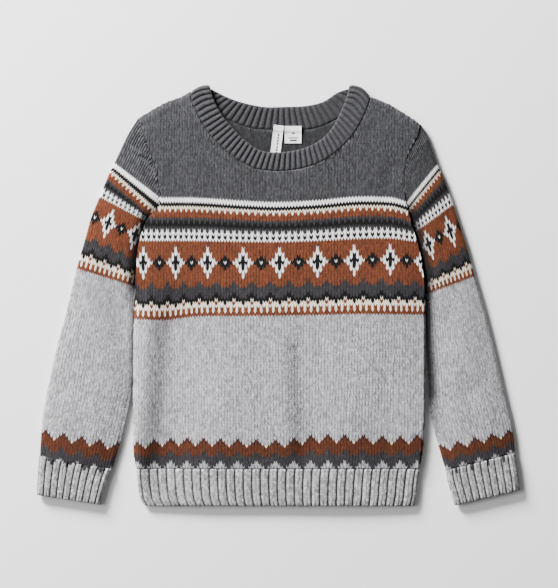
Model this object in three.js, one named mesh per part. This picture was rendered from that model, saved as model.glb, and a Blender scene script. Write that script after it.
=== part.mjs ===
// A child's fair isle jumper, laid flat, front side up.
// Millimetres. X runs across the chest, Y from hem to neck, Z up from the surface it lies on.
// The origin is under the middle of the jumper's outline.
import * as THREE from 'three';

// Cloth and lay
const wall = 3;
const layHeight = 9;
const seamHeight = layHeight / 2;
const seamGap = 0.3;
const edgeRadius = 6;

// Distances from a fold where its round needs a point, and the grid steps that they take
const foldSteps = [0, 0.8, 2.6, edgeRadius];
const foldStepCount = foldSteps.length;
const onFoldReach = 0.5;

// The inner face has come back over the outer one this far from a fold, and its two layers stay parted
const insetReach = 2 * edgeRadius;
const leastParting = 0.05;

// Body
const hemSeamY = -189.5;
const hemBottomY = -230.6;
const sideSteps = 7;
const armholeSteps = { front: 12, back: 6 };
const neckSteps = { front: 25, back: 16 };
const shoulderSteps = 2;
const sleeveStations = 16;

// Ribs
const hemRibs = 33;
const cuffRibs = 10;
const ribStations = 2;
const underSteps = { hem: 10, cuff: 2 };
const ribDepth = 1.3;
const neckRibsFront = 42;
const neckRibsBack = 28;
const neckRibDepth = 1.1;
const foldSections = 6;

// Neckband: doubled rib, lying in two layers that fold at the shoulder points
const bandWall = 4;
const bandTop = 9.3;
const bandEdgeShare = 0.1;
const bandEdgeDrop = 0.9;
const neckClearance = 0.7;

// Woven labels: each is sewn on over the band and then steps down onto the inside of the back
const labelWall = 0.5;
const labelOverBand = 4.3;
const labelOnBack = 3.35;
const labelSewnLength = 4.5;
const labelStepEnd = 9;
const labels = [
  { name: 'label_strip', centreX: 0.5, topY: 188.8, width: 11, length: 36, tilt: 7 },
  { name: 'label_square', centreX: 16.2, topY: 188, width: 18.5, length: 19, tilt: 0 },
];

// Half outlines, one row for each point that the shape needs
const leftSide = [
  { x: -155.5, y: hemSeamY }, { x: -159, y: -182 }, { x: -160, y: -160 }, { x: -160, y: -60 },
  { x: -159, y: -22 }, { x: -157, y: 2 },
];
const rightSide = [
  { x: 155.8, y: hemSeamY }, { x: 157.5, y: -180 }, { x: 160, y: -158 }, { x: 161.8, y: -120 },
  { x: 161.8, y: -20 }, { x: 161.4, y: 2 },
];
const leftArmhole = [
  { x: -157, y: 2 }, { x: -157, y: 20 }, { x: -154, y: 57 }, { x: -145, y: 84 }, { x: -133, y: 98 },
  { x: -130, y: 112 }, { x: -135, y: 141 }, { x: -146, y: 173 }, { x: -154, y: 197 },
];
const rightArmhole = [
  { x: 161.4, y: 2 }, { x: 159.6, y: 26 }, { x: 155, y: 52 }, { x: 144.5, y: 88 }, { x: 139.5, y: 110 },
  { x: 139, y: 140 }, { x: 145, y: 161 }, { x: 153, y: 177 }, { x: 156, y: 190.5 },
];
const leftShoulder = [
  { x: -154, y: 197 }, { x: -126, y: 213 }, { x: -108, y: 220 }, { x: -97.2, y: 226.2 },
];
const rightShoulder = [
  { x: 103.1, y: 219.7 }, { x: 112, y: 216.5 }, { x: 129, y: 208 }, { x: 156, y: 190.5 },
];

// Neckband edges as they lie: sewn edge and free edge, front and back
const frontSewnEdge = [
  { x: -96.3, y: 226.5 }, { x: -95.8, y: 215 }, { x: -88.3, y: 198.5 }, { x: -77.5, y: 180 },
  { x: -62, y: 164.5 }, { x: -47, y: 152.5 }, { x: -28, y: 142 }, { x: -8, y: 138.5 }, { x: 12, y: 139 },
  { x: 31, y: 142.5 }, { x: 49, y: 149.5 }, { x: 66, y: 161.5 }, { x: 81.5, y: 177 }, { x: 92.5, y: 195 },
  { x: 99.5, y: 212 }, { x: 102, y: 220 },
];
const frontFreeEdge = [
  { x: -75.5, y: 232 }, { x: -71.3, y: 217.5 }, { x: -62, y: 200 }, { x: -51, y: 186.5 },
  { x: -37.5, y: 172.5 }, { x: -22, y: 162 }, { x: -8, y: 159 }, { x: 12, y: 160 }, { x: 30.5, y: 164.5 },
  { x: 46, y: 172.5 }, { x: 58.5, y: 185 }, { x: 67.7, y: 202 }, { x: 75, y: 220 }, { x: 77.6, y: 232.5 },
];
const backSewnEdge = [
  { x: 86, y: 208.5 }, { x: 67.7, y: 197.5 }, { x: 46, y: 187.5 }, { x: 26, y: 184 }, { x: -16, y: 184.5 },
  { x: -36, y: 187.5 }, { x: -63.5, y: 199 }, { x: -82, y: 212 },
];
const backFreeEdge = [
  { x: 64.5, y: 224.5 }, { x: 49, y: 215 }, { x: 30, y: 210.5 }, { x: 7, y: 209.5 }, { x: -16, y: 209.5 },
  { x: -39, y: 214 }, { x: -58, y: 220.5 },
];

// Sleeves: outer fold and underarm fold from the armhole to the cuff seam
const leftOuterFold = [
  { x: -154.5, y: 197 }, { x: -164.5, y: 181 }, { x: -174.5, y: 163.5 }, { x: -182, y: 146 },
  { x: -192, y: 128.5 }, { x: -201, y: 102 }, { x: -214, y: 67 }, { x: -227, y: 14 }, { x: -243.5, y: -48 },
  { x: -258, y: -118 }, { x: -261.5, y: -145 }, { x: -263.5, y: -175 },
];
const leftUnderFold = [
  { x: -157.6, y: 2 }, { x: -160.6, y: -24 }, { x: -161.3, y: -60 }, { x: -162.5, y: -100 },
  { x: -168, y: -123 }, { x: -171.5, y: -140 }, { x: -176.5, y: -166 }, { x: -183, y: -190 },
];
const rightOuterFold = [
  { x: 156.5, y: 190.5 }, { x: 163.5, y: 180 }, { x: 169, y: 163.5 }, { x: 175, y: 146.5 },
  { x: 186.5, y: 119.5 }, { x: 199, y: 80 }, { x: 217, y: 23 }, { x: 235.5, y: -48 }, { x: 251.5, y: -118 },
  { x: 258, y: -147 }, { x: 260.8, y: -172 },
];
const rightUnderFold = [
  { x: 162, y: 2 }, { x: 162.6, y: -24 }, { x: 163.8, y: -60 }, { x: 166, y: -100 }, { x: 167, y: -123 },
  { x: 170.5, y: -141 }, { x: 175.5, y: -158 }, { x: 179, y: -175 }, { x: 184.5, y: -191 },
];

// Cuffs: outer fold and inner fold from the cuff seam to the bind-off edge
const leftCuffOuter = [{ x: -263.6, y: -175.4 }, { x: -265.4, y: -198 }, { x: -266.2, y: -218.3 }];
const leftCuffInner = [{ x: -183, y: -190.4 }, { x: -188.5, y: -204 }, { x: -195.6, y: -229.2 }];
const rightCuffOuter = [{ x: 260.9, y: -172.4 }, { x: 264.5, y: -196 }, { x: 266.2, y: -213 }];
const rightCuffInner = [{ x: 184.6, y: -191.4 }, { x: 187, y: -206 }, { x: 194.2, y: -229.8 }];

// Hem rib side edges from the hem seam down
const leftHemSide = [
  { x: -155.5, y: hemSeamY - seamGap }, { x: -155.3, y: -208 }, { x: -153.6, y: -220 },
  { x: -148.5, y: -229 },
];
const rightHemSide = [
  { x: 155.6, y: hemSeamY - seamGap }, { x: 153, y: -208 }, { x: 152, y: -219 }, { x: 149.5, y: -230 },
];

// Soft troughs pressed into the upper layer as it lies, each from its upper to its lower end.
// Left and right are how far its two sides reach.
const softTroughs = [
  { fromX: -111, fromY: 12, toX: -134, toY: -236, left: 10, right: 42, depth: 2.3 },
  { fromX: 22, fromY: -28, toX: 31, toY: -200, left: 11, right: 32, depth: 1.4 },
  { fromX: 118, fromY: -60, toX: 126, toY: -236, left: 16, right: 24, depth: 1.1 },
  { fromX: -120, fromY: 150, toX: -98, toY: 100, left: 9, right: 9, depth: 0.7 },
  { fromX: 128, fromY: 150, toX: 112, toY: 95, left: 9, right: 9, depth: 0.7 },
  { fromX: -190, fromY: 50, toX: -172, toY: -60, left: 18, right: 10, depth: 1.3 },
  { fromX: 196, fromY: 40, toX: 182, toY: -70, left: 10, right: 14, depth: 1.1 },
  { fromX: -236, fromY: -90, toX: -205, toY: -120, left: 9, right: 9, depth: 0.8 },
  { fromX: 228, fromY: -90, toX: 200, toY: -118, left: 9, right: 9, depth: 0.8 },
];

const curveThrough = (rows) => new THREE.SplineCurve(rows.map((row) => new THREE.Vector2(row.x, row.y)));

const reversed = (rows) => [...rows].reverse();

function distanceToSegment(point, start, end) {
  const run = end.clone().sub(start);
  const share = THREE.MathUtils.clamp(point.clone().sub(start).dot(run) / run.lengthSq(), 0, 1);
  const nearest = start.clone().addScaledVector(run, share);
  return { distance: point.distanceTo(nearest), nearest, share };
}

// The nearest place on the edges where the upper and lower layers meet
function nearestEdge(point, edges) {
  let best = { distance: Infinity };
  for (const edge of edges) {
    for (let i = 1; i < edge.length; i += 1) {
      const found = distanceToSegment(point, edge[i - 1], edge[i]);
      if (found.distance < best.distance) best = found;
    }
  }
  return best;
}

const edgeOf = (rows, steps = 40) => curveThrough(rows).getSpacedPoints(steps);

// A quarter ellipse: 0 at the fold, 1 where the layer lies flat
function roundRise(distance, reach) {
  const share = THREE.MathUtils.clamp(distance / reach, 0, 1);
  return Math.sqrt(1 - (1 - share) ** 2);
}

// A smooth bell across each trough, wider on one side, fading at its two ends
function troughDepth(point) {
  return softTroughs.reduce((total, row) => {
    const start = new THREE.Vector2(row.fromX, row.fromY);
    const end = new THREE.Vector2(row.toX, row.toY);
    const { distance, nearest, share } = distanceToSegment(point, start, end);
    const reach = point.x > nearest.x ? row.right : row.left;
    const lengthways = Math.sin(Math.PI * (0.9 * share + 0.05));
    return total + row.depth * Math.exp(-((distance / reach) ** 2)) * lengthways;
  }, 0);
}

// Coons patch: four edges of points blended over the inside, with the share of each row and column
function patchGrid({ bottom, top, left, right, across, along }) {
  const last = across.length - 1;
  const blend = (c, r, axis) => {
    const u = across[c];
    const v = along[r];
    const upDown = (1 - v) * bottom[c][axis] + v * top[c][axis];
    const sideways = (1 - u) * left[r][axis] + u * right[r][axis];
    const corner = (1 - v) * ((1 - u) * bottom[0][axis] + u * bottom[last][axis])
      + v * ((1 - u) * top[0][axis] + u * top[last][axis]);
    return upDown + sideways - corner;
  };
  return along.map((v, r) => across.map((u, c) => new THREE.Vector2(blend(c, r, 'x'), blend(c, r, 'y'))));
}

// Inner points stand one wall in from the folded edges and come back over the flat part.
// A point on a sewn edge is given that edge's direction as its rail, and moves only along it.
function insetPoint(point, neighbour, edges, rail) {
  const own = nearestEdge(point, edges);
  if (own.distance >= insetReach) return point.clone();
  const onFold = own.distance < onFoldReach;
  const from = onFold ? nearestEdge(neighbour, edges) : own;
  const inward = rail ?? (onFold ? neighbour : point).clone().sub(from.nearest).normalize();
  return point.clone().addScaledVector(inward, wall * (1 - own.distance / insetReach));
}

// Heights of the four faces of a lying layer pair at a distance from the folded edge
const upperOuter = (distance) => seamHeight + (layHeight - seamHeight) * roundRise(distance, edgeRadius);
const innerRise = (distance) => roundRise(Math.max(distance - wall, 0) + leastParting, edgeRadius - wall);
const upperInner = (distance) => seamHeight + (layHeight - wall - seamHeight) * innerRise(distance);
const lowerOuter = (distance) => seamHeight * (1 - roundRise(distance, edgeRadius));
const lowerInner = (distance) => seamHeight - (seamHeight - wall) * innerRise(distance);

// Turns a closed index list so that its faces point out
function closedGeometry(positions, index) {
  const corner = [0, 1, 2].map(() => new THREE.Vector3());
  let volume = 0;
  for (let i = 0; i < index.length; i += 3) {
    corner.forEach((vertex, k) => vertex.fromArray(positions, 3 * index[i + k]));
    volume += corner[0].dot(corner[1].clone().cross(corner[2]));
  }
  const outward = [];
  for (let i = 0; i < index.length; i += 3) {
    const [a, b, c] = index.slice(i, i + 3);
    outward.push(a, volume > 0 ? b : c, volume > 0 ? c : b);
  }
  const geometry = new THREE.BufferGeometry();
  geometry.setAttribute('position', new THREE.Float32BufferAttribute(positions, 3));
  geometry.setIndex(outward);
  geometry.computeVertexNormals();
  return geometry;
}

const quad = (a, b, c, d) => [a, b, c, a, c, d];

// A sheet: an upper grid and a lower grid joined round their four sides
function sheetGeometry(upper, lower) {
  const rows = upper.length;
  const columns = upper[0].length;
  const positions = [...upper, ...lower].flat().flatMap((point) => point.toArray());
  const top = (row, column) => row * columns + column;
  const under = (row, column) => (rows + row) * columns + column;
  const index = [];
  for (let r = 0; r < rows - 1; r += 1) {
    for (let c = 0; c < columns - 1; c += 1) {
      index.push(...quad(top(r, c), top(r, c + 1), top(r + 1, c + 1), top(r + 1, c)));
      index.push(...quad(under(r, c), under(r + 1, c), under(r + 1, c + 1), under(r, c + 1)));
    }
    index.push(...quad(top(r, 0), top(r + 1, 0), under(r + 1, 0), under(r, 0)));
    index.push(...quad(top(r, columns - 1), under(r, columns - 1), under(r + 1, columns - 1),
      top(r + 1, columns - 1)));
  }
  for (let c = 0; c < columns - 1; c += 1) {
    index.push(...quad(top(0, c), under(0, c), under(0, c + 1), top(0, c + 1)));
    index.push(...quad(top(rows - 1, c), top(rows - 1, c + 1), under(rows - 1, c + 1),
      under(rows - 1, c)));
  }
  return closedGeometry(positions, index);
}

// A hollow tube: outer loops and inner loops joined by a ring at each end
function tubeGeometry(outer, inner) {
  const stations = outer.length;
  const around = outer[0].length;
  const positions = [...outer, ...inner].flat().flatMap((point) => point.toArray());
  const skin = (station, k) => station * around + (k % around);
  const lining = (station, k) => (stations + station) * around + (k % around);
  const index = [];
  for (let k = 0; k < around; k += 1) {
    for (let s = 0; s < stations - 1; s += 1) {
      index.push(...quad(skin(s, k), skin(s, k + 1), skin(s + 1, k + 1), skin(s + 1, k)));
      index.push(...quad(lining(s, k), lining(s + 1, k), lining(s + 1, k + 1), lining(s, k + 1)));
    }
    const last = stations - 1;
    index.push(...quad(skin(0, k), lining(0, k), lining(0, k + 1), skin(0, k + 1)));
    index.push(...quad(skin(last, k), skin(last, k + 1), lining(last, k + 1), lining(last, k)));
  }
  return closedGeometry(positions, index);
}

// A closed ring: every station is a closed section, and the last meets the first
function ringGeometry(sections) {
  const around = sections[0].length;
  const positions = sections.flat().flatMap((point) => point.toArray());
  const index = [];
  sections.forEach((section, s) => {
    const next = (s + 1) % sections.length;
    for (let k = 0; k < around; k += 1) {
      const k2 = (k + 1) % around;
      index.push(...quad(s * around + k, s * around + k2, next * around + k2, next * around + k));
    }
  });
  return closedGeometry(positions, index);
}

const yarn = { charcoal: 0x5a5a5e, lightGrey: 0xb3b1b4, label: 0xf2f0ee };

function clothMesh(name, geometry, color) {
  const material = new THREE.MeshStandardMaterial({ color, roughness: 0.95, metalness: 0 });
  const mesh = new THREE.Mesh(geometry, material);
  mesh.name = name;
  return mesh;
}

const evenShares = (steps) => [...Array(steps + 1).keys()].map((k) => k / steps);

// Shares along a length, close together at both folded ends
function foldedShares(length, inner) {
  const near = foldSteps.map((step) => step / length);
  const first = edgeRadius / length;
  const middle = evenShares(inner + 1).slice(1, -1).map((share) => first + share * (1 - 2 * first));
  return [...near, ...middle, ...near.map((share) => 1 - share).reverse()];
}

const raised = (point, z) => new THREE.Vector3(point.x, point.y, z);

const alongCurve = (rows, shares) => {
  const curve = curveThrough(rows);
  return shares.map((share) => curve.getPointAt(share));
};

// The same armhole points serve the panel and the sleeve sewn to it
function armholePoints(rows, inner) {
  return alongCurve(rows, foldedShares(curveThrough(rows).getLength(), inner));
}

const foldedEdges = (...tables) => tables.map((rows) => edgeOf(rows));

const panelEdges = foldedEdges(leftSide, rightSide, leftShoulder, rightShoulder);

// A neckline: the band's sewn edge, moved out of the neck by the clearance
function necklineAround(rows) {
  const curve = curveThrough(rows);
  return evenShares(rows.length * 2).map((share) => {
    const tangent = curve.getTangentAt(share);
    const point = curve.getPointAt(share);
    return { x: point.x + neckClearance * tangent.y, y: point.y - neckClearance * tangent.x };
  });
}

function panelGrid(neckPoints, armholeCount) {
  const sidePoints = (side, armhole) => [
    ...alongCurve(side, evenShares(sideSteps)).slice(0, -1), ...armholePoints(armhole, armholeCount),
  ];
  const left = sidePoints(leftSide, leftArmhole);
  const right = sidePoints(rightSide, rightArmhole);
  const shoulderLength = curveThrough(leftShoulder).getLength();
  const near = foldSteps.slice(0, -1).map((step) => step / shoulderLength);
  const first = edgeRadius / shoulderLength;
  const beyond = evenShares(shoulderSteps).slice(1).map((share) => first + share * (1 - first));
  const fromEdge = [...near, ...beyond];
  const top = [
    ...alongCurve(leftShoulder, fromEdge),
    ...neckPoints,
    ...alongCurve(rightShoulder, fromEdge.map((share) => 1 - share).reverse()),
  ];
  const across = top.map((point) => (point.x - top[0].x) / (top[top.length - 1].x - top[0].x));
  const along = left.map((point) => (point.y - left[0].y) / (left[left.length - 1].y - left[0].y));
  const bottom = across.map((u) => ({ x: THREE.MathUtils.lerp(left[0].x, right[0].x, u), y: hemSeamY }));
  return patchGrid({ bottom, top, left, right, across, along });
}

// The direction of the hem seam or the armhole at a grid point, or nothing away from them
function sewnRail(grid, r, c, edges) {
  const row = grid[r];
  if (r === 0) {
    const inStep = c < row.length / 2 ? 1 : -1;
    return row[c + inStep].clone().sub(row[c]).normalize();
  }
  const onSide = c === 0 || c === row.length - 1;
  if (edges !== panelEdges || !onSide || r <= sideSteps || r === grid.length - 1) return undefined;
  const upStep = r < (sideSteps + grid.length) / 2 ? 1 : -1;
  return grid[r + upStep][c].clone().sub(grid[r - upStep][c]).normalize();
}

// Both faces of a panel from its plan grid
function panelFaces(grid, edges, outerHeight, innerHeight, sink) {
  const outer = grid.map((row) => row.map((point) => {
    const { distance } = nearestEdge(point, edges);
    return raised(point, outerHeight(distance) - sink(point, distance));
  }));
  const inner = grid.map((row, r) => row.map((point, c) => {
    const middleColumn = c < row.length / 2
      ? Math.min(c + foldStepCount, row.length - 1)
      : Math.max(c - foldStepCount, 0);
    const awayFromSides = c >= foldStepCount && c < row.length - foldStepCount;
    const onTopEdge = edges === panelEdges && awayFromSides && r > grid.length - foldStepCount;
    const neighbour = onTopEdge ? grid[r - foldStepCount][c] : row[middleColumn];
    const moved = insetPoint(point, neighbour, edges, sewnRail(grid, r, c, edges));
    const { distance } = nearestEdge(moved, edges);
    return raised(moved, innerHeight(distance) - sink(moved, distance));
  }));
  return { outer, inner };
}

// Troughs reach their depth only over the flat part of a layer
const troughSink = (point, distance) => troughDepth(point) * roundRise(distance - 2, insetReach);
const noSink = () => 0;

function frontPanel() {
  const neckPoints = alongCurve(necklineAround(frontSewnEdge), evenShares(neckSteps.front)).slice(1, -1);
  const grid = panelGrid(neckPoints, armholeSteps.front);
  const lift = (height) => (distance) => height(distance) + seamGap / 2;
  const faces = panelFaces(grid, panelEdges, lift(upperOuter), lift(upperInner), troughSink);
  return clothMesh('front_panel', sheetGeometry(faces.outer, faces.inner), yarn.lightGrey);
}

// The ring's plan curves, cut back at the shoulder folds by the radius that the fold needs
const foldRadius = bandTop / 2;
const frontSewn = curveThrough(frontSewnEdge);
const frontFree = curveThrough(frontFreeEdge);
const foldShare = (curve) => foldRadius / curve.getLength();
const foldStart = (curve) => curve.getPointAt(foldShare(curve));
const foldEnd = (curve) => curve.getPointAt(1 - foldShare(curve));
const backSewnRows = [foldEnd(frontSewn), ...backSewnEdge, foldStart(frontSewn)];
const backFreeRows = [foldEnd(frontFree), ...backFreeEdge, foldStart(frontFree)];
const backSewn = curveThrough(backSewnRows);
const backFree = curveThrough(backFreeRows);

function backPanel() {
  const around = alongCurve(necklineAround(reversed(backSewnRows)), evenShares(neckSteps.back));
  const clearOf = (point, side) => (
    new THREE.Vector2(point.x + side * neckClearance, point.y - neckClearance / 2)
  );
  const neckPoints = [
    clearOf(foldStart(frontSewn), -1), ...around.slice(1, -1), clearOf(foldEnd(frontSewn), 1),
  ];
  const grid = panelGrid(neckPoints, armholeSteps.back);
  const drop = (height) => (distance) => Math.max(height(distance) - seamGap / 2, 0);
  const faces = panelFaces(grid, panelEdges, drop(lowerOuter), drop(lowerInner), noSink);
  return clothMesh('back_panel', sheetGeometry(faces.inner, faces.outer), yarn.lightGrey);
}

// A sleeve or a cuff: a flat tube between an outer fold and an underarm fold.
// The upper grid and the lower grid share their first and last columns, which lie on the folds.
function flatTube({ upper, lower, edges, relief }) {
  const loops = (outerSide) => upper.map((upperRow, station) => {
    const place = (row, column, isUpper) => {
      const point = row[column];
      const inStep = column < row.length / 2 ? 1 : -1;
      const neighbour = row[column + foldStepCount * inStep];
      const onSewnEdge = station === 0 || station === upper.length - 1;
      const rail = onSewnEdge ? row[column + inStep].clone().sub(point).normalize() : undefined;
      const moved = outerSide ? point : insetPoint(point, neighbour, edges, rail);
      const { distance } = nearestEdge(moved, edges);
      if (column === 0 || column === row.length - 1) return raised(moved, seamHeight);
      if (!isUpper) return raised(moved, outerSide ? lowerOuter(distance) : lowerInner(distance));
      const height = outerSide ? upperOuter(distance) + relief(column, distance) : upperInner(distance);
      return raised(moved, height - troughSink(moved, distance));
    };
    const lowerRow = lower[station];
    const upperPoints = upperRow.map((point, column) => place(upperRow, column, true));
    const lowerPoints = lowerRow.map((point, column) => place(lowerRow, column, false));
    return [...upperPoints, ...lowerPoints.slice(1, -1).reverse()];
  });
  return tubeGeometry(loops(true), loops(false));
}

const between = (start, end, shares) => shares.map((share) => new THREE.Vector2(
  THREE.MathUtils.lerp(start.x, end.x, share),
  THREE.MathUtils.lerp(start.y, end.y, share),
));

function sleeve(name, armholeRows, outerFoldRows, underFoldRows, side) {
  const stations = evenShares(sleeveStations);
  const armholes = [armholeSteps.front, armholeSteps.back].map((count) => armholePoints(armholeRows, count)
    .map((point) => new THREE.Vector2(point.x + side * 2 * seamGap, point.y)).reverse());
  const shoulderPoint = armholes[0][0];
  const underarmPoint = armholes[0][armholes[0].length - 1];
  const outerFold = alongCurve([shoulderPoint, ...outerFoldRows.slice(1)], stations);
  const underFold = alongCurve([underarmPoint, ...underFoldRows.slice(1)], stations);
  const grids = armholes.map((armhole) => {
    const cuffWidth = outerFold[sleeveStations].distanceTo(underFold[sleeveStations]);
    const across = foldedShares(cuffWidth, armhole.length - 2 * foldStepCount);
    const cuffSeam = between(outerFold[sleeveStations], underFold[sleeveStations], across);
    return patchGrid({
      bottom: armhole, top: cuffSeam, left: outerFold, right: underFold, across, along: stations,
    });
  });
  const geometry = flatTube({
    upper: grids[0], lower: grids[1], edges: [outerFold, underFold], relief: () => 0,
  });
  return clothMesh(name, geometry, yarn.lightGrey);
}

// Rib section: a narrow valley, then the two shoulders of a crown
const ribPhases = [
  { phase: 0, height: -1 }, { phase: 0.28, height: 0 }, { phase: 0.72, height: 0 },
];

const ribColumns = (ribs) => [
  ...[...Array(ribs).keys()].flatMap((rib) => ribPhases.map((row) => (rib + row.phase) / ribs)), 1,
];

const ribRelief = (column) => ribDepth * ribPhases[column % ribPhases.length].height;

function cuff(name, outerRows, innerRows) {
  const stations = evenShares(ribStations);
  const last = outerRows.length - 1;
  const outerFold = alongCurve(outerRows, stations);
  const innerFold = alongCurve(innerRows, stations);
  const width = outerFold[0].distanceTo(innerFold[0]);
  const grids = [ribColumns(cuffRibs), foldedShares(width, underSteps.cuff)].map((across) => patchGrid({
    bottom: between(outerRows[0], innerRows[0], across),
    top: between(outerRows[last], innerRows[last], across),
    left: outerFold,
    right: innerFold,
    across,
    along: stations,
  }));
  const geometry = flatTube({
    upper: grids[0],
    lower: grids[1],
    edges: [outerFold, innerFold],
    relief: (column, distance) => ribRelief(column) * roundRise(distance, edgeRadius),
  });
  return clothMesh(name, geometry, yarn.lightGrey);
}

// The hem rib of one panel: the panel's wall carried on, ribbed on its upper face where that shows
function hemRib(name, upperLayer) {
  const along = evenShares(ribStations);
  const left = alongCurve(leftHemSide, along);
  const right = alongCurve(rightHemSide, along);
  const underColumns = foldedShares(left[0].distanceTo(right[0]), underSteps.hem);
  const across = upperLayer ? ribColumns(hemRibs) : underColumns;
  const bindOff = [
    leftHemSide[leftHemSide.length - 1], { x: -138, y: hemBottomY }, { x: -60, y: hemBottomY },
    { x: 60, y: hemBottomY }, { x: 138, y: hemBottomY }, rightHemSide[rightHemSide.length - 1],
  ];
  const grid = patchGrid({
    bottom: between(left[0], right[0], across),
    top: alongCurve(bindOff, across),
    left,
    right,
    across,
    along,
  });
  const edges = foldedEdges(leftHemSide, rightHemSide);
  const offset = upperLayer ? seamGap / 2 : -seamGap / 2;
  const height = (face) => (distance) => Math.max(face(distance) + offset, 0);
  const faces = upperLayer
    ? panelFaces(grid, edges, height(upperOuter), height(upperInner), troughSink)
    : panelFaces(grid, edges, height(lowerOuter), height(lowerInner), noSink);
  if (upperLayer) {
    faces.outer.forEach((row, r) => row.forEach((point, c) => {
      const { distance } = nearestEdge(grid[r][c], edges);
      point.setZ(point.z + ribRelief(c) * roundRise(distance, edgeRadius));
    }));
  }
  return clothMesh(name, sheetGeometry(faces.outer, faces.inner), yarn.lightGrey);
}

// One section of the neckband: sewn edge to free edge over the ribbed face, then back along the plain one.
// The section turns over the shoulder fold about a line halfway up; turn is 0 in front, half a turn behind.
function bandSection(sewnAt, freeAt, turn, ribOut, ribIn) {
  const half = bandWall / 2;
  const place = (share, across) => {
    const radius = (bandTop - bandWall) / 2 + across;
    const out = Math.sin(turn) * radius;
    const [sewn, free] = [sewnAt(out), freeAt(out)];
    return new THREE.Vector3(
      THREE.MathUtils.lerp(sewn.x, free.x, share),
      THREE.MathUtils.lerp(sewn.y, free.y, share),
      bandTop / 2 + Math.cos(turn) * radius,
    );
  };
  const ribbed = turn < Math.PI / 2 ? half + ribOut : half;
  const plain = turn < Math.PI / 2 ? -half : -half + ribIn;
  return [
    place(0, half - bandEdgeDrop), place(bandEdgeShare, ribbed), place(1 - bandEdgeShare, ribbed),
    place(1, half - bandEdgeDrop), place(1 - bandEdgeShare, plain), place(bandEdgeShare, plain),
  ];
}

// Sections of one layer, with the ribs raised on the face that looks up
function bandLayer(sewn, free, ribs, cut, turn) {
  const steps = ribs * ribPhases.length;
  return evenShares(steps).map((share, s) => {
    const sewnPlan = sewn.getPointAt(cut.sewn + share * (1 - 2 * cut.sewn));
    const freePlan = free.getPointAt(cut.free + share * (1 - 2 * cut.free));
    const rib = neckRibDepth * ribPhases[s % ribPhases.length].height;
    return bandSection(() => sewnPlan, () => freePlan, turn, rib, -rib);
  });
}

function neckband() {
  const cut = { sewn: foldShare(frontSewn), free: foldShare(frontFree) };
  const outward = (curve, share, atEnd) => (out) => curve.getPointAt(THREE.MathUtils.clamp(
    atEnd ? 1 - share + out / curve.getLength() : share - out / curve.getLength(), 0, 1));
  const fold = (atEnd) => evenShares(foldSections).slice(1, -1).map((share) => bandSection(
    outward(frontSewn, cut.sewn, atEnd),
    outward(frontFree, cut.free, atEnd),
    Math.PI * (atEnd ? share : 1 - share),
    0,
    0,
  ));
  const sections = [
    ...bandLayer(frontSewn, frontFree, neckRibsFront, cut, 0),
    ...fold(true),
    ...bandLayer(backSewn, backFree, neckRibsBack, { sewn: 0, free: 0 }, Math.PI),
    ...fold(false),
  ];
  return clothMesh('neckband', ringGeometry(sections), yarn.charcoal);
}

function label({ name, centreX, topY, width, length, tilt }) {
  const profile = [
    { down: 0, z: labelOverBand }, { down: labelSewnLength, z: labelOverBand },
    { down: labelStepEnd, z: labelOnBack }, { down: length, z: labelOnBack },
  ];
  const turn = THREE.MathUtils.degToRad(tilt);
  const grid = (offset) => profile.map((row) => evenShares(2).map((u) => {
    const across = (u - 0.5) * width;
    return new THREE.Vector3(
      centreX + across * Math.cos(turn) - row.down * Math.sin(turn),
      topY - across * Math.sin(turn) - row.down * Math.cos(turn),
      row.z + offset,
    );
  }));
  return clothMesh(name, sheetGeometry(grid(labelWall), grid(0)), yarn.label);
}

const jumper = new THREE.Group();
jumper.add(
  frontPanel(),
  backPanel(),
  sleeve('left_sleeve', leftArmhole, leftOuterFold, leftUnderFold, -1),
  sleeve('right_sleeve', rightArmhole, rightOuterFold, rightUnderFold, 1),
  neckband(),
  hemRib('hem_rib_front', true),
  hemRib('hem_rib_back', false),
  cuff('left_cuff', leftCuffOuter, leftCuffInner),
  cuff('right_cuff', rightCuffOuter, rightCuffInner),
  ...labels.map(label),
);

export default jumper;
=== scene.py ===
import bpy
import numpy as np
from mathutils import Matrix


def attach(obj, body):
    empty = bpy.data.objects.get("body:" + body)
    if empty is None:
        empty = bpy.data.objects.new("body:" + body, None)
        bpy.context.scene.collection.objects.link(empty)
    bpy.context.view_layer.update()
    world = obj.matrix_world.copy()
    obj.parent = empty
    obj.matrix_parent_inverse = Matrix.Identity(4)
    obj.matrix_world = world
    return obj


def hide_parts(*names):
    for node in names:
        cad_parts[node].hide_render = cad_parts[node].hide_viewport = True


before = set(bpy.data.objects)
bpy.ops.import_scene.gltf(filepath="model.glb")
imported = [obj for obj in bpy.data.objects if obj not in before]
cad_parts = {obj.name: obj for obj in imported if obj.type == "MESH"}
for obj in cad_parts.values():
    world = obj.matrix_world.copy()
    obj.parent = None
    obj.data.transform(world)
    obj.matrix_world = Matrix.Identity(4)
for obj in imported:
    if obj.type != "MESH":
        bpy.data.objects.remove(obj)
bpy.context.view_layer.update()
print("frame loaded:", len(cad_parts), "pieces")

# all places below are in mm, in the frame's own axes, and become metres when a mesh is made
metresPerMm = 0.001

cloth = {
    "wall": 3.0,            # knitted wall
    "layHeight": 9.0,       # two walls and the soft gap between them
    "edgeRadius": 6.0,      # how far in from a fold the layer lies flat
    "steepRadius": 3.5,     # the same on the front's right side, which stands up steeply beside its sleeve
    "insetReach": 12.0,     # how far in from a fold the inner face comes back over the flat part
    "leastParting": 0.05,   # how far the two inner faces stay apart at a fold
    "layerGap": 0.3,        # between upper and lower layer where they are sewn
    "seamGap": 0.15,        # between a sleeve and the armhole's line
    "sheetEdge": 20.0,      # how far in from a fold the slow waves reach their full height
}
cloth["seamHeight"] = cloth["layHeight"] / 2

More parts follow.
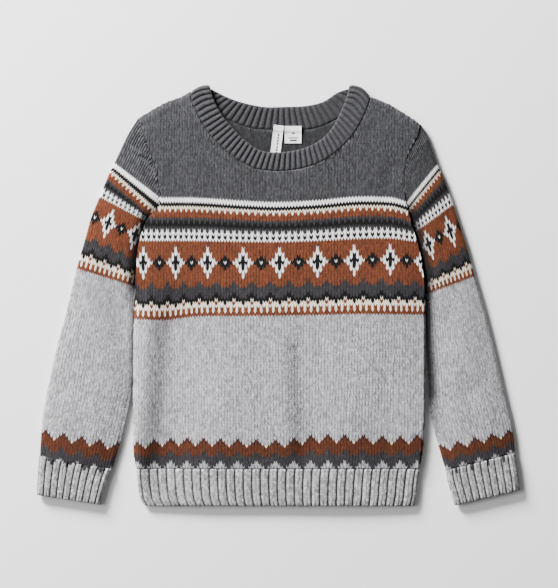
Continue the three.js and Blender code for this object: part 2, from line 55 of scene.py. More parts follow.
knit = {
    "rowHeight": 3.136,     # one course
    "slant": 2.9,           # how far a stitch's middle hangs below its sides
    "legRise": 0.9,         # how far a leg of yarn stands out of its groove
    "joinRise": 0.4,        # the same where one leg meets the next
    "showThrough": 0.2,     # share of the darker yarn beside it that shows through a light leg
    "darkFullness": 0.26,   # how far a dark stitch spreads into the lighter ones round it, in stitches
    "groove": 0.45,         # how far the groove lies below the plain surface
    "underLift": 0.65,      # how far the underside is raised, so that its legs just touch the surface below
    "foldReach": 4.0,       # how far in from a fold the grooves reach their full depth
    "lowRise": 0.3,         # a leg that rises less lies in a groove
    # painted shade: how light the wool paints each place, from 0 in the shade between stitches to 1 on a leg
    "centreCrown": 0.4,     # between a stitch's two legs
    "joinCrown": 0.6,       # where one leg meets the next
    "lowCrown": 0.1,        # on a leg that lies in a groove
    # painted shade: the inner face is painted darker, as the layers shade each other
    "insideCrown": -0.3,    # on the inner face, darker than any groove
}

# the yarns of the ground, the ribs and the pattern (sRGB, 0 to 255), with the share of light and dark
# fibres spun into each
yarns = {
    "charcoal": {"colour": (61, 61, 64), "heather": 0.85},
    "lightGrey": {"colour": (164, 162, 166), "heather": 0.75},
    "ribGrey": {"colour": (151, 151, 152), "heather": 1.0},
    "rust": {"colour": (102, 53, 31), "heather": 0.6},
    "deepRust": {"colour": (80, 40, 21), "heather": 0.6},
    "darkGrey": {"colour": (47, 45, 48), "heather": 0.7},
    "black": {"colour": (2, 2, 4), "heather": 0.2},
    "brown": {"colour": (56, 31, 22), "heather": 0.35},
    "cream": {"colour": (249, 234, 215), "heather": 0.12},
    "white": {"colour": (254, 250, 249), "heather": 0.12},
}
yarnNames = list(yarns)
yarnLetters = {"L": "lightGrey", "R": "rust", "O": "deepRust", "B": "brown", "D": "darkGrey", "K": "black",
               "E": "cream", "W": "white"}

# fair isle band, worked from the top down: 12 stitches wide, the first is the middle of a star
bandChart = [
    "WWWWWWWWWWWW", "WWWWWWWWWWWW", "KKKKKKKKKKKK", "EEEEEEEEEEEE", "ERERERERERER", "RRRRRRRRRRRR",
    "RRRRRRRRRRRR", "DDDDDDDDDDDD", "KDKDKDKDKDKD", "KKKKKKKKKKKK", "DDDDDDDDDDDD", "DWDWDWDWDWDW",
    "WWWWWWWWWWWW", "KWKWKWKWKWKW", "WWWWWWWWWWWW", "RRRRRRRRRRRR", "RRRRRRRRRRRR",
    "WRRRRRRRRRRR", "WRRRRRRRRRRR", "WWRRRRRRRRRW", "KWRRRRKRRRRW", "KWWRRKKKRRWW", "KKWWKKWKKWWK",
    "KWWRRKKKRRWW", "KWRRRRKRRRRW", "WWRRRRRRRRRW", "WRRRRRRRRRRR", "WRRRRRRRRRRR",
    "RRRRRRRRRRRR", "RRRDRRRRRDRR", "RRDDDRRRDDDR", "DDDDDDDDDDDD", "DDDDDDDDDDDD",
    "DDDKDDDDDKDD", "DDKKKDDDKKKD", "KKKEKKKKKEKK", "KEEREEKEEREE", "EEEEEEEEEEEE",
    "ERERERERERER", "ERERERERERER", "RRRRRRRRRRRR",
]
# zigzag border, 6 stitches wide, the first under a tooth; its last rows turn into the rib
borderChart = [
    "BLLLLL", "OBLLLB", "OOOEOO", "OOOOOO", "OOOOOO", "DOOOOO", "DDOOOD", "DDDDDD", "DDDDDD",
    "LDDDDD", "LLDDDL", "LLLDLL",
]
# where the border starts, in courses below the band's top, and how many stitches its teeth stand to
# the left of the stars, or on a sleeve nearer its outer fold
borders = {"body": (83, 2), "left": (98, 0), "right": (97, 4)}


# table of yarn numbers from the rows of letters
def chartTable(rows):
    order = {letter: yarnNames.index(name) for letter, name in yarnLetters.items()}
    return np.array([[order[letter] for letter in row] for row in rows])


# yarn number of each stitch: charcoal above the band, light grey below it, the border last
def stitchYarns(rows, stitches, borderStart, borderShift):
    rowGrid, stitchGrid = np.meshgrid(rows, stitches, indexing="ij")
    band, border = chartTable(bandChart), chartTable(borderChart)
    inBand = band[np.clip(rowGrid, 0, len(band) - 1), stitchGrid % band.shape[1]]
    borderRow = np.clip(rowGrid - borderStart, 0, len(border) - 1)
    inBorder = border[borderRow, (stitchGrid + borderShift) % border.shape[1]]
    found = np.where(rowGrid < 0, yarnNames.index("charcoal"), inBand)
    found = np.where(rowGrid >= len(band), yarnNames.index("lightGrey"), found)
    return np.where(rowGrid >= borderStart, inBorder, found)


# uniform Catmull-Rom curve through the rows of a table, then points evenly spaced along it
def curveThrough(rows, count=160, perSpan=30):
    points = np.array(rows, float)
    padded = np.vstack([points[:1], points, points[-1:]])
    t = np.linspace(0, 1, perSpan, endpoint=False)[None, :, None]
    p0, p1, p2, p3 = (padded[k:len(points) - 1 + k, None, :] for k in range(4))
    v1, v2 = (p2 - p0) / 2, (p3 - p1) / 2
    spans = (2 * p1 - 2 * p2 + v1 + v2) * t**3 + (-3 * p1 + 3 * p2 - 2 * v1 - v2) * t**2 + v1 * t + p1
    fine = np.vstack([spans.reshape(-1, points.shape[1]), points[-1:]])
    return resampled(fine, np.linspace(0, 1, count))


# smooth curve through the points of a table line, at the given places
def smoothAt(places, knots, values):
    fine = curveThrough(list(zip(knots, values)), 400)
    return np.interp(places, fine[:, 0], fine[:, 1])


# length of a polyline
def lineLength(points):
    return np.linalg.norm(np.diff(points, axis=0), axis=1).sum()


# points at the given shares of a polyline's length
def resampled(points, shares):
    steps = np.linalg.norm(np.diff(points, axis=0), axis=1)
    length = np.concatenate([[0], np.cumsum(steps)])
    return np.stack([np.interp(np.asarray(shares) * length[-1], length, axis) for axis in points.T], axis=-1)


# outlines shared with the solids, one row for each point that the shape needs
hemSeamY = -189.5
outline = {
    "leftSide": [(-156.6, hemSeamY), (-158.6, -178), (-160, -158), (-160, -60), (-159, -22), (-157, 2)],
    "rightSide": [(155.8, hemSeamY), (157.5, -180), (160, -158), (161.8, -120), (161.8, -20), (161.4, 2)],
    "leftArmhole": [(-157, 2), (-157, 20), (-154, 57), (-145, 84), (-133, 98), (-130, 112), (-135, 141),
                    (-146, 173), (-154, 197)],
    "rightArmhole": [(161.4, 2), (159.6, 26), (155, 52), (144.5, 88), (139.5, 110), (139, 140), (145, 161),
                     (153, 177), (156, 190.5)],
    "leftShoulder": [(-154, 197), (-126, 213), (-108, 220), (-97.2, 226.2)],
    "rightShoulder": [(103.1, 219.7), (112, 216.5), (129, 208), (156, 190.5)],
    "leftOuterFold": [(-154.5, 197), (-164.5, 181), (-174.5, 163.5), (-182, 146), (-192, 128.5), (-201, 102),
                      (-214, 67), (-227, 14), (-243.5, -48), (-258, -118), (-261.5, -145), (-263.5, -175)],
    "leftUnderFold": [(-157.6, 2), (-160.6, -24), (-161.3, -60), (-162.5, -100), (-168, -123), (-171.5, -140),
                      (-176.5, -166), (-183, -190)],
    "rightOuterFold": [(156.5, 190.5), (163.5, 180), (169, 163.5), (175, 146.5), (186.5, 119.5), (199, 80),
                       (217, 23), (235.5, -48), (251.5, -118), (258, -147), (260.8, -172)],
    "rightUnderFold": [(162, 2), (162.6, -24), (163.8, -60), (166, -100), (167, -123), (170.5, -141),
                       (175.5, -158), (179, -175), (184.5, -191)],
    "frontSewnEdge": [(-96.3, 226.5), (-95.8, 215), (-88.3, 198.5), (-77.5, 180), (-62, 164.5), (-47, 152.5),
                      (-28, 142), (-8, 138.5), (12, 139), (31, 142.5), (49, 149.5), (66, 161.5), (81.5, 177),
                      (92.5, 195), (99.5, 212), (102, 220)],
    "frontFreeEdge": [(-75.5, 232), (-71.3, 217.5), (-62, 200), (-51, 186.5), (-37.5, 172.5), (-22, 162),
                      (-8, 159), (12, 160), (30.5, 164.5), (46, 172.5), (58.5, 185), (67.7, 202), (75, 220),
                      (77.6, 232.5)],
    "backSewnEdge": [(86, 208.5), (67.7, 197.5), (46, 187.5), (26, 184), (-16, 184.5), (-36, 187.5),
                     (-63.5, 199), (-82, 212)],
    "backFreeEdge": [(64.5, 224.5), (49, 215), (30, 210.5), (7, 209.5), (-16, 209.5), (-39, 214),
                     (-58, 220.5)],
}

# smooth curves through the named outlines
def edgePoints(*names):
    return [curveThrough(outline[name]) for name in names]


# Soft troughs pressed into the upper layer, each along a line from its upper to its lower end. "left"
# and "right" are how far its two sides reach, and a depth below zero is a ridge.
softTroughs = [
    {"from": (-111, 14), "to": (-135, -236), "left": 18, "right": 40, "depth": 4.7},
    {"from": (-144, 4), "to": (-154, -215), "left": 8, "right": 15, "depth": -1.8},
    {"from": (22, -28), "to": (31, -200), "left": 11, "right": 32, "depth": 2.3},
    {"from": (2, -40), "to": (10, -190), "left": 14, "right": 12, "depth": -0.7},
    {"from": (118, -60), "to": (126, -236), "left": 16, "right": 24, "depth": 1.3},
    {"from": (-120, 150), "to": (-98, 100), "left": 9, "right": 9, "depth": 0.7},
    {"from": (128, 150), "to": (112, 95), "left": 9, "right": 9, "depth": 0.7},
    {"from": (-190, 50), "to": (-172, -60), "left": 18, "right": 10, "depth": 1.3},
    {"from": (196, 40), "to": (182, -70), "left": 10, "right": 14, "depth": 1.1},
    {"from": (-236, -90), "to": (-205, -120), "left": 9, "right": 9, "depth": 0.8},
    {"from": (228, -90), "to": (200, -118), "left": 9, "right": 9, "depth": 0.8},
]


# nearest place on a set of polylines: distance, point and the run of its segment
def nearestOn(points, polylines):
    starts = np.vstack([line[:-1] for line in polylines])
    runs = np.vstack([np.diff(line, axis=0) for line in polylines])
    flat = points.reshape(-1, 2)
    distance = np.empty(len(flat))
    nearest = np.empty((len(flat), 2))
    run = np.empty((len(flat), 2))
    for part in np.array_split(np.arange(len(flat)), max(1, len(flat) // 4000)):
        offset = flat[part][:, None, :] - starts[None]
        share = np.clip((offset * runs).sum(-1) / np.maximum((runs**2).sum(-1), 1e-9), 0, 1)
        places = starts + share[..., None] * runs
        gaps = np.linalg.norm(flat[part][:, None, :] - places, axis=-1)
        pick = gaps.argmin(1)
        rows = np.arange(len(part))
        distance[part], nearest[part], run[part] = gaps[rows, pick], places[rows, pick], runs[pick]
    shape = points.shape[:-1]
    return distance.reshape(shape), nearest.reshape(points.shape), run.reshape(points.shape)


# even-odd test of points against a closed polygon
def isInside(points, polygon):
    x, y = points[..., 0][..., None], points[..., 1][..., None]
    x1, y1 = polygon[:, 0], polygon[:, 1]
    x2, y2 = np.roll(x1, -1), np.roll(y1, -1)
    crosses = (y1 > y) != (y2 > y)
    slope = (x2 - x1) / np.where(y2 == y1, 1e-9, y2 - y1)
    return (crosses & (x < x1 + (y - y1) * slope)).sum(-1) % 2 == 1


# a quarter ellipse: 0 at the fold, 1 where the layer lies flat
def roundRise(distance, reach):
    share = np.clip(distance / reach, 0, 1)
    return np.sqrt(1 - (1 - share) ** 2)


# a bell across each trough, wider on one side, that fades in and out along it
def troughSink(points, distance):
    sink = np.zeros(points.shape[:-1])
    for trough in softTroughs:
        start, run = np.array(trough["from"], float), np.subtract(trough["to"], trough["from"]).astype(float)
        share = np.clip(((points - start) * run).sum(-1) / (run**2).sum(), 0, 1)
        offset = points - start - share[..., None] * run
        onRight = offset[..., 0] > 0
        reach = np.where(onRight, trough["right"], trough["left"])
        lengthways = np.minimum(1, 1.6 * np.sin(np.pi * (0.92 * share + 0.04)))
        sink += trough["depth"] * np.exp(-((np.linalg.norm(offset, axis=-1) / reach) ** 2)) * lengthways
    return sink * roundRise(distance - 2, cloth["insetReach"])


# a laid garment's layers fall gently towards their folds, well before they turn over
fullness = {
    "body": {"reach": 34.0, "fall": 1.8, "start": 8.0},
    "sleeve": {"reach": 36.0, "fall": 3.4, "start": 8.0},
}


def fullnessFall(distance, kind):
    row = fullness[kind]
    return row["fall"] * np.clip(1 - distance / row["reach"], 0, 1) ** 2 * roundRise(distance, row["start"])


# slow unevenness of hand-laid cloth: a few long sine waves, in mm
def softWaves(points, height=0.28):
    x, y = points[..., 0], points[..., 1]
    longWaves = np.sin(x / 23 + y / 61) * np.sin(y / 31 - x / 83)
    shortWaves = 0.6 * np.sin(x / 11.3 + 1.7 + y / 47) * np.sin(y / 17.9 + 0.4)
    return height * (longWaves + shortWaves)


# the upper layer's inner face stays just above the lower layer's
def clearOfLower(height, distance, upper):
    if not upper:
        return height
    gap = cloth["layerGap"] * roundRise(distance, cloth["wall"])
    return np.maximum(height, layerHeight(distance, False, False) + gap)


# how far the upper layer lies below its full height
def upperSink(plan, distance, kind="body"):
    waves = softWaves(plan) * roundRise(distance - 2, cloth["sheetEdge"])
    return troughSink(plan, distance) + fullnessFall(distance, kind) - waves


# height of one face of a lying layer pair at a distance from the fold
def layerHeight(distance, upper, outer, radius=cloth["edgeRadius"]):
    flat = {(True, True): cloth["layHeight"], (True, False): cloth["layHeight"] - cloth["wall"],
            (False, True): 0.0, (False, False): cloth["wall"]}[(upper, outer)]
    if outer:
        rise = roundRise(distance, radius)
    else:
        beyond = np.maximum(distance - cloth["wall"], 0) + cloth["leastParting"]
        rise = roundRise(beyond, cloth["edgeRadius"] - cloth["wall"])
    return cloth["seamHeight"] + (flat - cloth["seamHeight"]) * rise


# the inner face's plan: one wall in from the fold, coming back over the flat part
def insetPlan(points, edges, middle):
    distance, nearest, run = nearestOn(points, edges)
    normal = np.stack([-run[..., 1], run[..., 0]], -1)
    normal /= np.linalg.norm(normal, axis=-1, keepdims=True)
    inward = normal * np.sign(((middle - nearest) * normal).sum(-1, keepdims=True))
    amount = cloth["wall"] * np.clip(1 - distance / cloth["insetReach"], 0, 1)
    return points + inward * amount[..., None]


# a mesh from arrays of points and triangles, with its yarn colour, its painted shade (lightness from groove
# to crown) and bake layout
def makeMesh(name, points, faces, faceColour, crown, layout):
    used = np.zeros(len(points), bool)
    used[faces] = True
    renumber = np.cumsum(used) - 1
    points, crown, faces = points[used], crown[used], renumber[faces]
    mesh = bpy.data.meshes.new(name)
    mesh.vertices.add(len(points))
    mesh.vertices.foreach_set("co", (points * metresPerMm).astype(np.float32).ravel())
    mesh.loops.add(faces.size)
    mesh.loops.foreach_set("vertex_index", faces.astype(np.int32).ravel())
    mesh.polygons.add(len(faces))
    mesh.polygons.foreach_set("loop_start", np.arange(0, faces.size, 3, dtype=np.int32))
    mesh.polygons.foreach_set("use_smooth", np.ones(len(faces), bool))
    colour = mesh.attributes.new("yarnColour", "FLOAT_COLOR", "CORNER")
    colour.data.foreach_set("color", np.repeat(faceColour, 3, axis=0).astype(np.float32).ravel())
    # painted shade: the lightness that the wool material reads, not a height
    height = mesh.attributes.new("paintedLightness", "FLOAT", "POINT")
    height.data.foreach_set("value", crown.astype(np.float32))
    uv = mesh.uv_layers.new(name="OFBake")
    plan = points[faces.ravel()][:, :2]
    low, high = points[:, :2].min(0), points[:, :2].max(0)
    place = np.repeat(layout, 3, axis=0)
    inTile = 0.01 + 0.98 * (plan - low) / (high - low)
    uv.data.foreach_set("uv", (place[:, :2] + inTile * place[:, 2:]).astype(np.float32).ravel())
    mesh.update(calc_edges=True)
    mesh.validate()
    piece = bpy.data.objects.new(name, mesh)
    bpy.context.scene.collection.objects.link(piece)
    print("made", name, len(faces), "triangles")
    return piece


# bake tiles: corner and size of the places for upper outer, lower outer, upper inner, lower inner
bakeTiles = {
    "sheet": np.array([(0, 0, 0.74, 1), (0, 0, 0.74, 1), (0.75, 0, 0.25, 1), (0.75, 0, 0.25, 1)]),
    "tube": np.array([(0, 0, 0.36, 1), (0.37, 0, 0.36, 1), (0.74, 0, 0.12, 1), (0.87, 0, 0.12, 1)]),
}

# each yarn's colour in linear light with its share of fibres, and how light it looks
yarnValues = np.array([
    [*(((np.array(row["colour"]) / 255 + 0.055) / 1.055) ** 2.4), row["heather"]] for row in yarns.values()
])
yarnLightness = np.array([np.mean(row["colour"]) / 255 for row in yarns.values()])


# lattice points moved towards the lighter of the four legs round each, so that dark stitches are fuller
def spreadDarks(plan, cellYarn, around):
    light = yarnLightness[cellYarn]
    edge = (plan[:-1] + plan[1:]) / 2
    if around:
        centre = (edge + np.roll(edge, -1, axis=1)) / 2
        lightPair, centrePair = [(np.roll(part, 1, axis=1), part) for part in (light, centre)]
    else:
        centre = (edge[:, :-1] + edge[:, 1:]) / 2
        lightPair, centrePair = [
            (np.concatenate([part[:, :1], part], 1), np.concatenate([part, part[:, -1:]], 1))
            for part in (light, centre)
        ]
    lights = [part[rows] for part in lightPair for rows in (slice(None, -1), slice(1, None))]
    centres = [part[rows] for part in centrePair for rows in (slice(None, -1), slice(1, None))]
    mean = sum(lights) / 4
    push = sum((part - mean)[..., None] * (place - plan[1:-1]) for part, place in zip(lights, centres))
    moved = plan.copy()
    moved[1:-1] += knit["darkFullness"] * push
    return moved


# each leg's own lightness, as the blend of fibres in the yarn varies along it
legShade = np.random.default_rng(11)


# colour of each leg, with a little of the darker yarns beside it and any painted shade, and its share of
# fibres
def legColours(cellYarn, cellShade, around):
    colour, heather = yarnValues[cellYarn][..., :3], yarnValues[cellYarn][..., 3:]
    beside = np.pad(colour, ((1, 1), (2, 2), (0, 0)), mode="edge")
    if around:
        beside[1:-1, :2], beside[1:-1, -2:] = colour[:, -2:], colour[:, :2]
    around4 = (beside[:-2, 2:-2] + beside[2:, 2:-2] + beside[1:-1, :-4] + beside[1:-1, 4:]) / 4
    mixed = colour * (1 - knit["showThrough"]) + around4 * knit["showThrough"]
    vary = 1 + 0.3 * heather * legShade.standard_normal((*cellYarn.shape, 1))
    shade = np.broadcast_to(cellShade, cellYarn.shape)[..., None]
    return np.concatenate([np.minimum(colour, mixed) * np.clip(vary, 0.6, 1.5) * shade, heather], -1)


# lattice points with their heights
def raised(plan, height):
    return np.concatenate([plan, height[..., None]], -1)


# A knitted wall from two lattices. Each cell of the outer one is a leg of yarn: six triangles round
# its crown, which joins the next leg over the middle of each row line. Inner cells are plain, and
# open borders are closed by a strip. "rise" is one value or one for each cell, and "crownLine" has one
# for each line of points down the lattice.
def knittedWall(name, outer, inner, keep, cellYarn, rise, hand, around, crownLine, cellShade=1.0):
    rows, columns = outer.shape[:2]
    rise = np.broadcast_to(rise, keep.shape)
    tiles = bakeTiles["tube" if around else "sheet"]
    index = np.arange(rows * columns).reshape(rows, columns)
    nextColumn = np.roll(index, -1, axis=1) if around else index[:, 1:]
    here = index if around else index[:, :-1]
    a, b, d, e = here[:-1], nextColumn[:-1], here[1:], nextColumn[1:]
    flat = outer.reshape(-1, 3)
    normal = np.cross(flat[d] - flat[b], flat[e] - flat[a]) * hand
    normal /= np.maximum(np.linalg.norm(normal, axis=-1, keepdims=True), 1e-9)
    peak = (flat[a] + flat[b] + flat[d] + flat[e]) / 4 + normal * rise[..., None]

    above = np.vstack([np.zeros_like(keep[:1]), keep[:-1]])
    below = np.vstack([keep[1:], np.zeros_like(keep[:1])])
    before = np.roll(keep, 1, axis=1)
    after = np.roll(keep, -1, axis=1)
    if not around:
        before[:, 0] = False
        after[:, -1] = False

    joinRise = np.zeros((rows, here.shape[1]))
    joinRise[1:-1] = (rise[:-1] + rise[1:]) / 2 * (keep[:-1] & keep[1:]) * knit["joinRise"] / knit["legRise"]
    joinNormal = np.concatenate([normal[:1], normal[:-1] + normal[1:], normal[-1:]]) / 2
    join = (flat[here] + flat[nextColumn]) / 2 + joinNormal * joinRise[..., None]

    shift = rows * columns
    peakIndex = 2 * shift + np.arange(a.size).reshape(a.shape)
    joinIndex = 2 * shift + a.size + np.arange(joinRise.size).reshape(joinRise.shape)
    top, foot = joinIndex[:-1], joinIndex[1:]
    points = np.vstack([flat, inner.reshape(-1, 3), peak.reshape(-1, 3), join.reshape(-1, 3)])
    outerCells = [(a, d, peakIndex), (d, foot, peakIndex), (foot, e, peakIndex), (e, b, peakIndex),
                  (b, top, peakIndex), (top, a, peakIndex)]
    innerCells = [(a + shift, b + shift, e + shift), (a + shift, e + shift, d + shift)]
    layer = np.where(normal[..., 2] >= 0, 0, 1)
    # painted shade: cellShade darkens the yarn colour of each cell, as in the sleeves' painted crease shadow
    shades = legColours(cellYarn, cellShade, around)
    faces, colours, layouts = [], [], []

    def addFaces(cells, where, tile):
        for cell in cells:
            faces.append(np.stack([part[where] for part in cell], -1))
            colours.append(shades[where])
            layouts.append(tiles[layer[where] + tile])

    addFaces(outerCells, keep, 0)
    addFaces(innerCells, keep, 2)
    for start, end, neighbour in ((a, d, before), (e, b, after)):
        strip = [(end, start, start + shift), (end, start + shift, end + shift)]
        addFaces(strip, keep & ~neighbour, 0)
    for start, middle, end, neighbour in ((b, top, a, above), (d, foot, e, below)):
        strip = [(end, middle, start + shift), (middle, start, start + shift),
                 (end, start + shift, end + shift)]
        addFaces(strip, keep & ~neighbour, 0)
    faces = np.vstack(faces)
    if hand < 0:
        faces = faces[:, ::-1]
    joinShare = joinRise / knit["joinRise"]
    joinShare[[0, -1]] = rise[[0, -1]] / knit["legRise"]
    # painted shade, read by the wool: light on the legs, dark in the grooves, darkest on the inner face
    crown = np.concatenate([
        np.broadcast_to(crownLine, (rows, columns)).ravel(), np.full(shift, knit["insideCrown"]),
        np.where(rise > knit["lowRise"], 1.0, knit["lowCrown"]).ravel(),
        np.clip(joinShare, knit["lowCrown"], 1).ravel() * knit["joinCrown"],
    ])
    return makeMesh(name, points, faces, np.vstack(colours), crown, np.vstack(layouts))


# points on the border of the kept cells, or outside the outline, go to the nearest place on it
def snapToOutline(plan, keep, polygon, around=False, free=False):
    if around:
        beside = (keep, np.roll(keep, 1, axis=1))
    else:
        beside = (np.pad(keep, ((0, 0), (0, 1))), np.pad(keep, ((0, 0), (1, 0))))
    used = sum(np.pad(cells, (ends, (0, 0))).astype(int) for cells in beside for ends in ((0, 1), (1, 0)))
    onBorder = (used > 0) & (used < 4)
    outside = (used > 0) & ~isInside(plan, polygon)
    closed = np.vstack([polygon, polygon[:1]])
    move = (onBorder | outside) & ~np.broadcast_to(free, used.shape)
    snapped = plan.copy()
    snapped[move] = nearestOn(plan[move], [closed])[1]
    return snapped


# Body lattice: stitch number to X, at the star columns of the band and at the border's teeth
bodyStitches = {
    "number": (-53, -48, -36, -24, -12, 0, 12, 24, 36, 50),
    "bandX": (-163, -148.8, -113.1, -78, -39, 1.3, 43, 83.4, 123, 165),
    "hemX": (-164, -149.1, -112.8, -76.2, -38.3, 3.6, 41.8, 79.6, 121.2, 165),
}
bodyRows = {
    "first": -42, "hem": 95,
    "spread": (45, 80),     # between these courses the stitches pass from the band's places to the hem's
}

# how far each course lies above the straight, in mm: one line for a row, across the jumper
courseBends = {
    "x": (-160, -125, -90, -40, 0, 45, 85, 120, 135, 145, 160),
    "bend": {
        -42: (-2, -2, -2, -3, -3, -3, -2, -2, -2, -2, -2),
        0: (0.9, 1.1, 0.8, -2.4, -3.9, -1.7, 2.0, 1.5, -1.4, -5.1, -7.1),
        22.5: (-0.4, -0.4, -0.4, -0.5, -0.3, 0.8, 2.4, 3.3, 2.6, 1.9, 0.8),
        41: (-4.0, -5.0, -1.1, -0.7, -0.2, 0.5, 1.6, 1.3, 1.0, 1.0, 0.8),
        61: (-3.0, -3.0, -1.5, -1.5, -1.5, 0.3, 0.7, 0.4, 0.4, 0.4, 0.3),
        83: (-8.5, -4.0, -3.4, -4.6, -5.2, 0.4, 0, -1.4, -1.3, -0.5, 0.5),
        95: (0, 0, 0, 0, 0, 0, 0, 0, 0, 0, 0),
    },
}


# how far each lattice point moves up or down from its straight course
def courseBend(x, row):
    rows = list(courseBends["bend"])
    lines = np.stack([smoothAt(x[0], courseBends["x"], line) for line in courseBends["bend"].values()])
    place = np.interp(row[:, 0], rows, np.arange(len(rows)))
    low = np.minimum(place.astype(int), len(rows) - 2)
    share = (place - low)[:, None]
    share = share * share * (3 - 2 * share)
    return lines[low] * (1 - share) + lines[low + 1] * share


panelEdges = edgePoints("leftSide", "rightSide", "leftShoulder", "rightShoulder")


# a body panel's outline polygon, round from the left hem corner
def panelPolygon(neckEdge):
    left, leftArm, leftTop = edgePoints("leftSide", "leftArmhole", "leftShoulder")
    rightTop, rightArm, right = edgePoints("rightShoulder", "rightArmhole", "rightSide")
    rightDown = [rightTop, rightArm[::-1][1:], right[::-1][1:]]
    return np.vstack([left, leftArm[1:], leftTop[1:], neckEdge, *rightDown])


# lattice of a body panel: half stitches across, courses down
def bodyLattice(polygon):
    halves = np.arange(2 * bodyStitches["number"][0] - 1, 2 * bodyStitches["number"][-1] + 2)
    stitches = halves / 2
    rows = np.arange(bodyRows["first"], bodyRows["hem"] + 1)
    bandX, hemX = (smoothAt(stitches, bodyStitches["number"], bodyStitches[key]) for key in ("bandX", "hemX"))
    rowGrid, bandGrid = np.meshgrid(rows, bandX, indexing="ij")
    spreadStart, spreadEnd = bodyRows["spread"]
    xGrid = bandGrid + (hemX - bandX) * np.clip((rowGrid - spreadStart) / (spreadEnd - spreadStart), 0, 1)
    slant = np.where(halves % 2 == 0, -0.5, 0.5) * knit["slant"]
    straight = hemSeamY + (bodyRows["hem"] - rowGrid) * knit["rowHeight"]
    y = straight + courseBend(bandGrid, rowGrid) + slant
    y[-1] = hemSeamY
    # a slight unevenness of the columns, as hand and machine leave it
    wander = 0.18 * np.sin(rowGrid * 1.9 + xGrid * 0.31) + 0.14 * np.sin(rowGrid * 0.73 - xGrid * 0.17)
    plan = np.stack([xGrid + wander, y], -1)
    centre = (plan[:-1, :-1] + plan[1:, 1:] + plan[:-1, 1:] + plan[1:, :-1]) / 4
    keep = isInside(centre, polygon)
    stitchOfCell = np.floor(stitches[:-1] + 0.5).astype(int)
    cellYarn = stitchYarns(rows[:-1], stitchOfCell, *borders["body"])
    return snapToOutline(spreadDarks(plan, cellYarn, False), keep, polygon), keep, cellYarn


# one layer of the body, from the hem's seam to the shoulders
def bodyPanel(name, neckEdge, upper):
    polygon = panelPolygon(neckEdge)
    plan, keep, cellYarn = bodyLattice(polygon)
    distance = nearestOn(plan, panelEdges)[0]
    lift = cloth["layerGap"] / 2 * (1 if upper else -1)
    sink = upperSink(plan, distance) if upper else 0
    fromFold = roundRise(distance, knit["foldReach"])
    groove = knit["groove"] * fromFold
    if upper:
        radius = np.where(plan[..., 0] > 0, cloth["steepRadius"], cloth["edgeRadius"])
        outerZ = layerHeight(distance, True, True, radius) + lift - sink - groove
    else:
        outerZ = layerHeight(distance, False, True) + lift + groove + knit["underLift"] * fromFold
    innerPlan = insetPlan(plan, panelEdges, np.zeros(2))
    innerDistance = nearestOn(innerPlan, panelEdges)[0]
    innerZ = clearOfLower(layerHeight(innerDistance, upper, False) + lift - sink, innerDistance, upper)
    # painted shade across the columns: lighter over a stitch's middle, darkest in the grooves between
    # stitches
    crownLine = np.where(np.arange(plan.shape[1]) % 2, knit["centreCrown"], 0.0)
    return knittedWall(name, raised(plan, outerZ), raised(innerPlan, innerZ), keep, cellYarn, knit["legRise"],
                       1 if upper else -1, False, crownLine)


# The neckband, in mm. It lies on the upper layer in front and on the lower one behind.
neck = {
    "frontRibs": 42, "backRibs": 28, "foldRibs": 2, "wall": 4.0, "top": 9.3,
    "edgeShare": 0.16,      # how much of the band's width each of its rounded edges takes
    "roundOff": 0.25,       # how much thinner the band is than its wall, under the ribs' crowns
    "relief": 0.9,          # share of the rib's depth that shows on the band
    "slantShare": 0.045,    # how far a rib's legs lean, as a share of the band's width
    "lowest": 0.05,         # no point lies lower than this
    "bulgeHalf": 12.0,      # the folds stand out fully this near their middle
    "bulgeReach": 14.0,     # how far past that the bulge is felt
    "inwardStep": 60,       # points along the neck's edge that give the way a fold stands out
    # how far the two folds stand out: in the middle of the band's width, and at its free edge
    "bulge": {"start": 2.0, "end": 4.2},
    "tip": {"start": 1.8, "end": 1.2},
    # painted shade: the back half is painted darker, as it lies in shade, and both halves are painted
    # darker towards the seam
    "lightness": {"front": 1.0, "back": 0.55},
    "seamShade": {"front": 0.55, "back": 0.95},
    "seamReach": {"front": 0.04, "back": 0.10},
}
foldRadius = neck["top"] / 2


# the neckband's two edges in front and behind, and where the front ones turn over at the shoulders
def bandCurves():
    sewn, free = (curveThrough(outline[name], 600) for name in ("frontSewnEdge", "frontFreeEdge"))
    sewnCut, freeCut = foldRadius / lineLength(sewn), foldRadius / lineLength(free)
    backSewn = [resampled(sewn, [1 - sewnCut])[0], *outline["backSewnEdge"], resampled(sewn, [sewnCut])[0]]
    backFree = [resampled(free, [1 - freeCut])[0], *outline["backFreeEdge"], resampled(free, [freeCut])[0]]
    return {"sewn": sewn, "free": free, "sewnCut": sewnCut, "freeCut": freeCut,
            "backSewn": curveThrough(backSewn, 400), "backFree": curveThrough(backFree, 400)}


band = bandCurves()

# the neck edges of the two panels, from left to right
frontNeck = curveThrough(outline["frontSewnEdge"])
backNeck = np.vstack([band["sewn"][:1], band["backSewn"][::-1], band["sewn"][-1:]])

frontPanel = bodyPanel("frontPanelKnit", frontNeck, True)
backPanel = bodyPanel("backPanelKnit", backNeck, False)
print("body done")


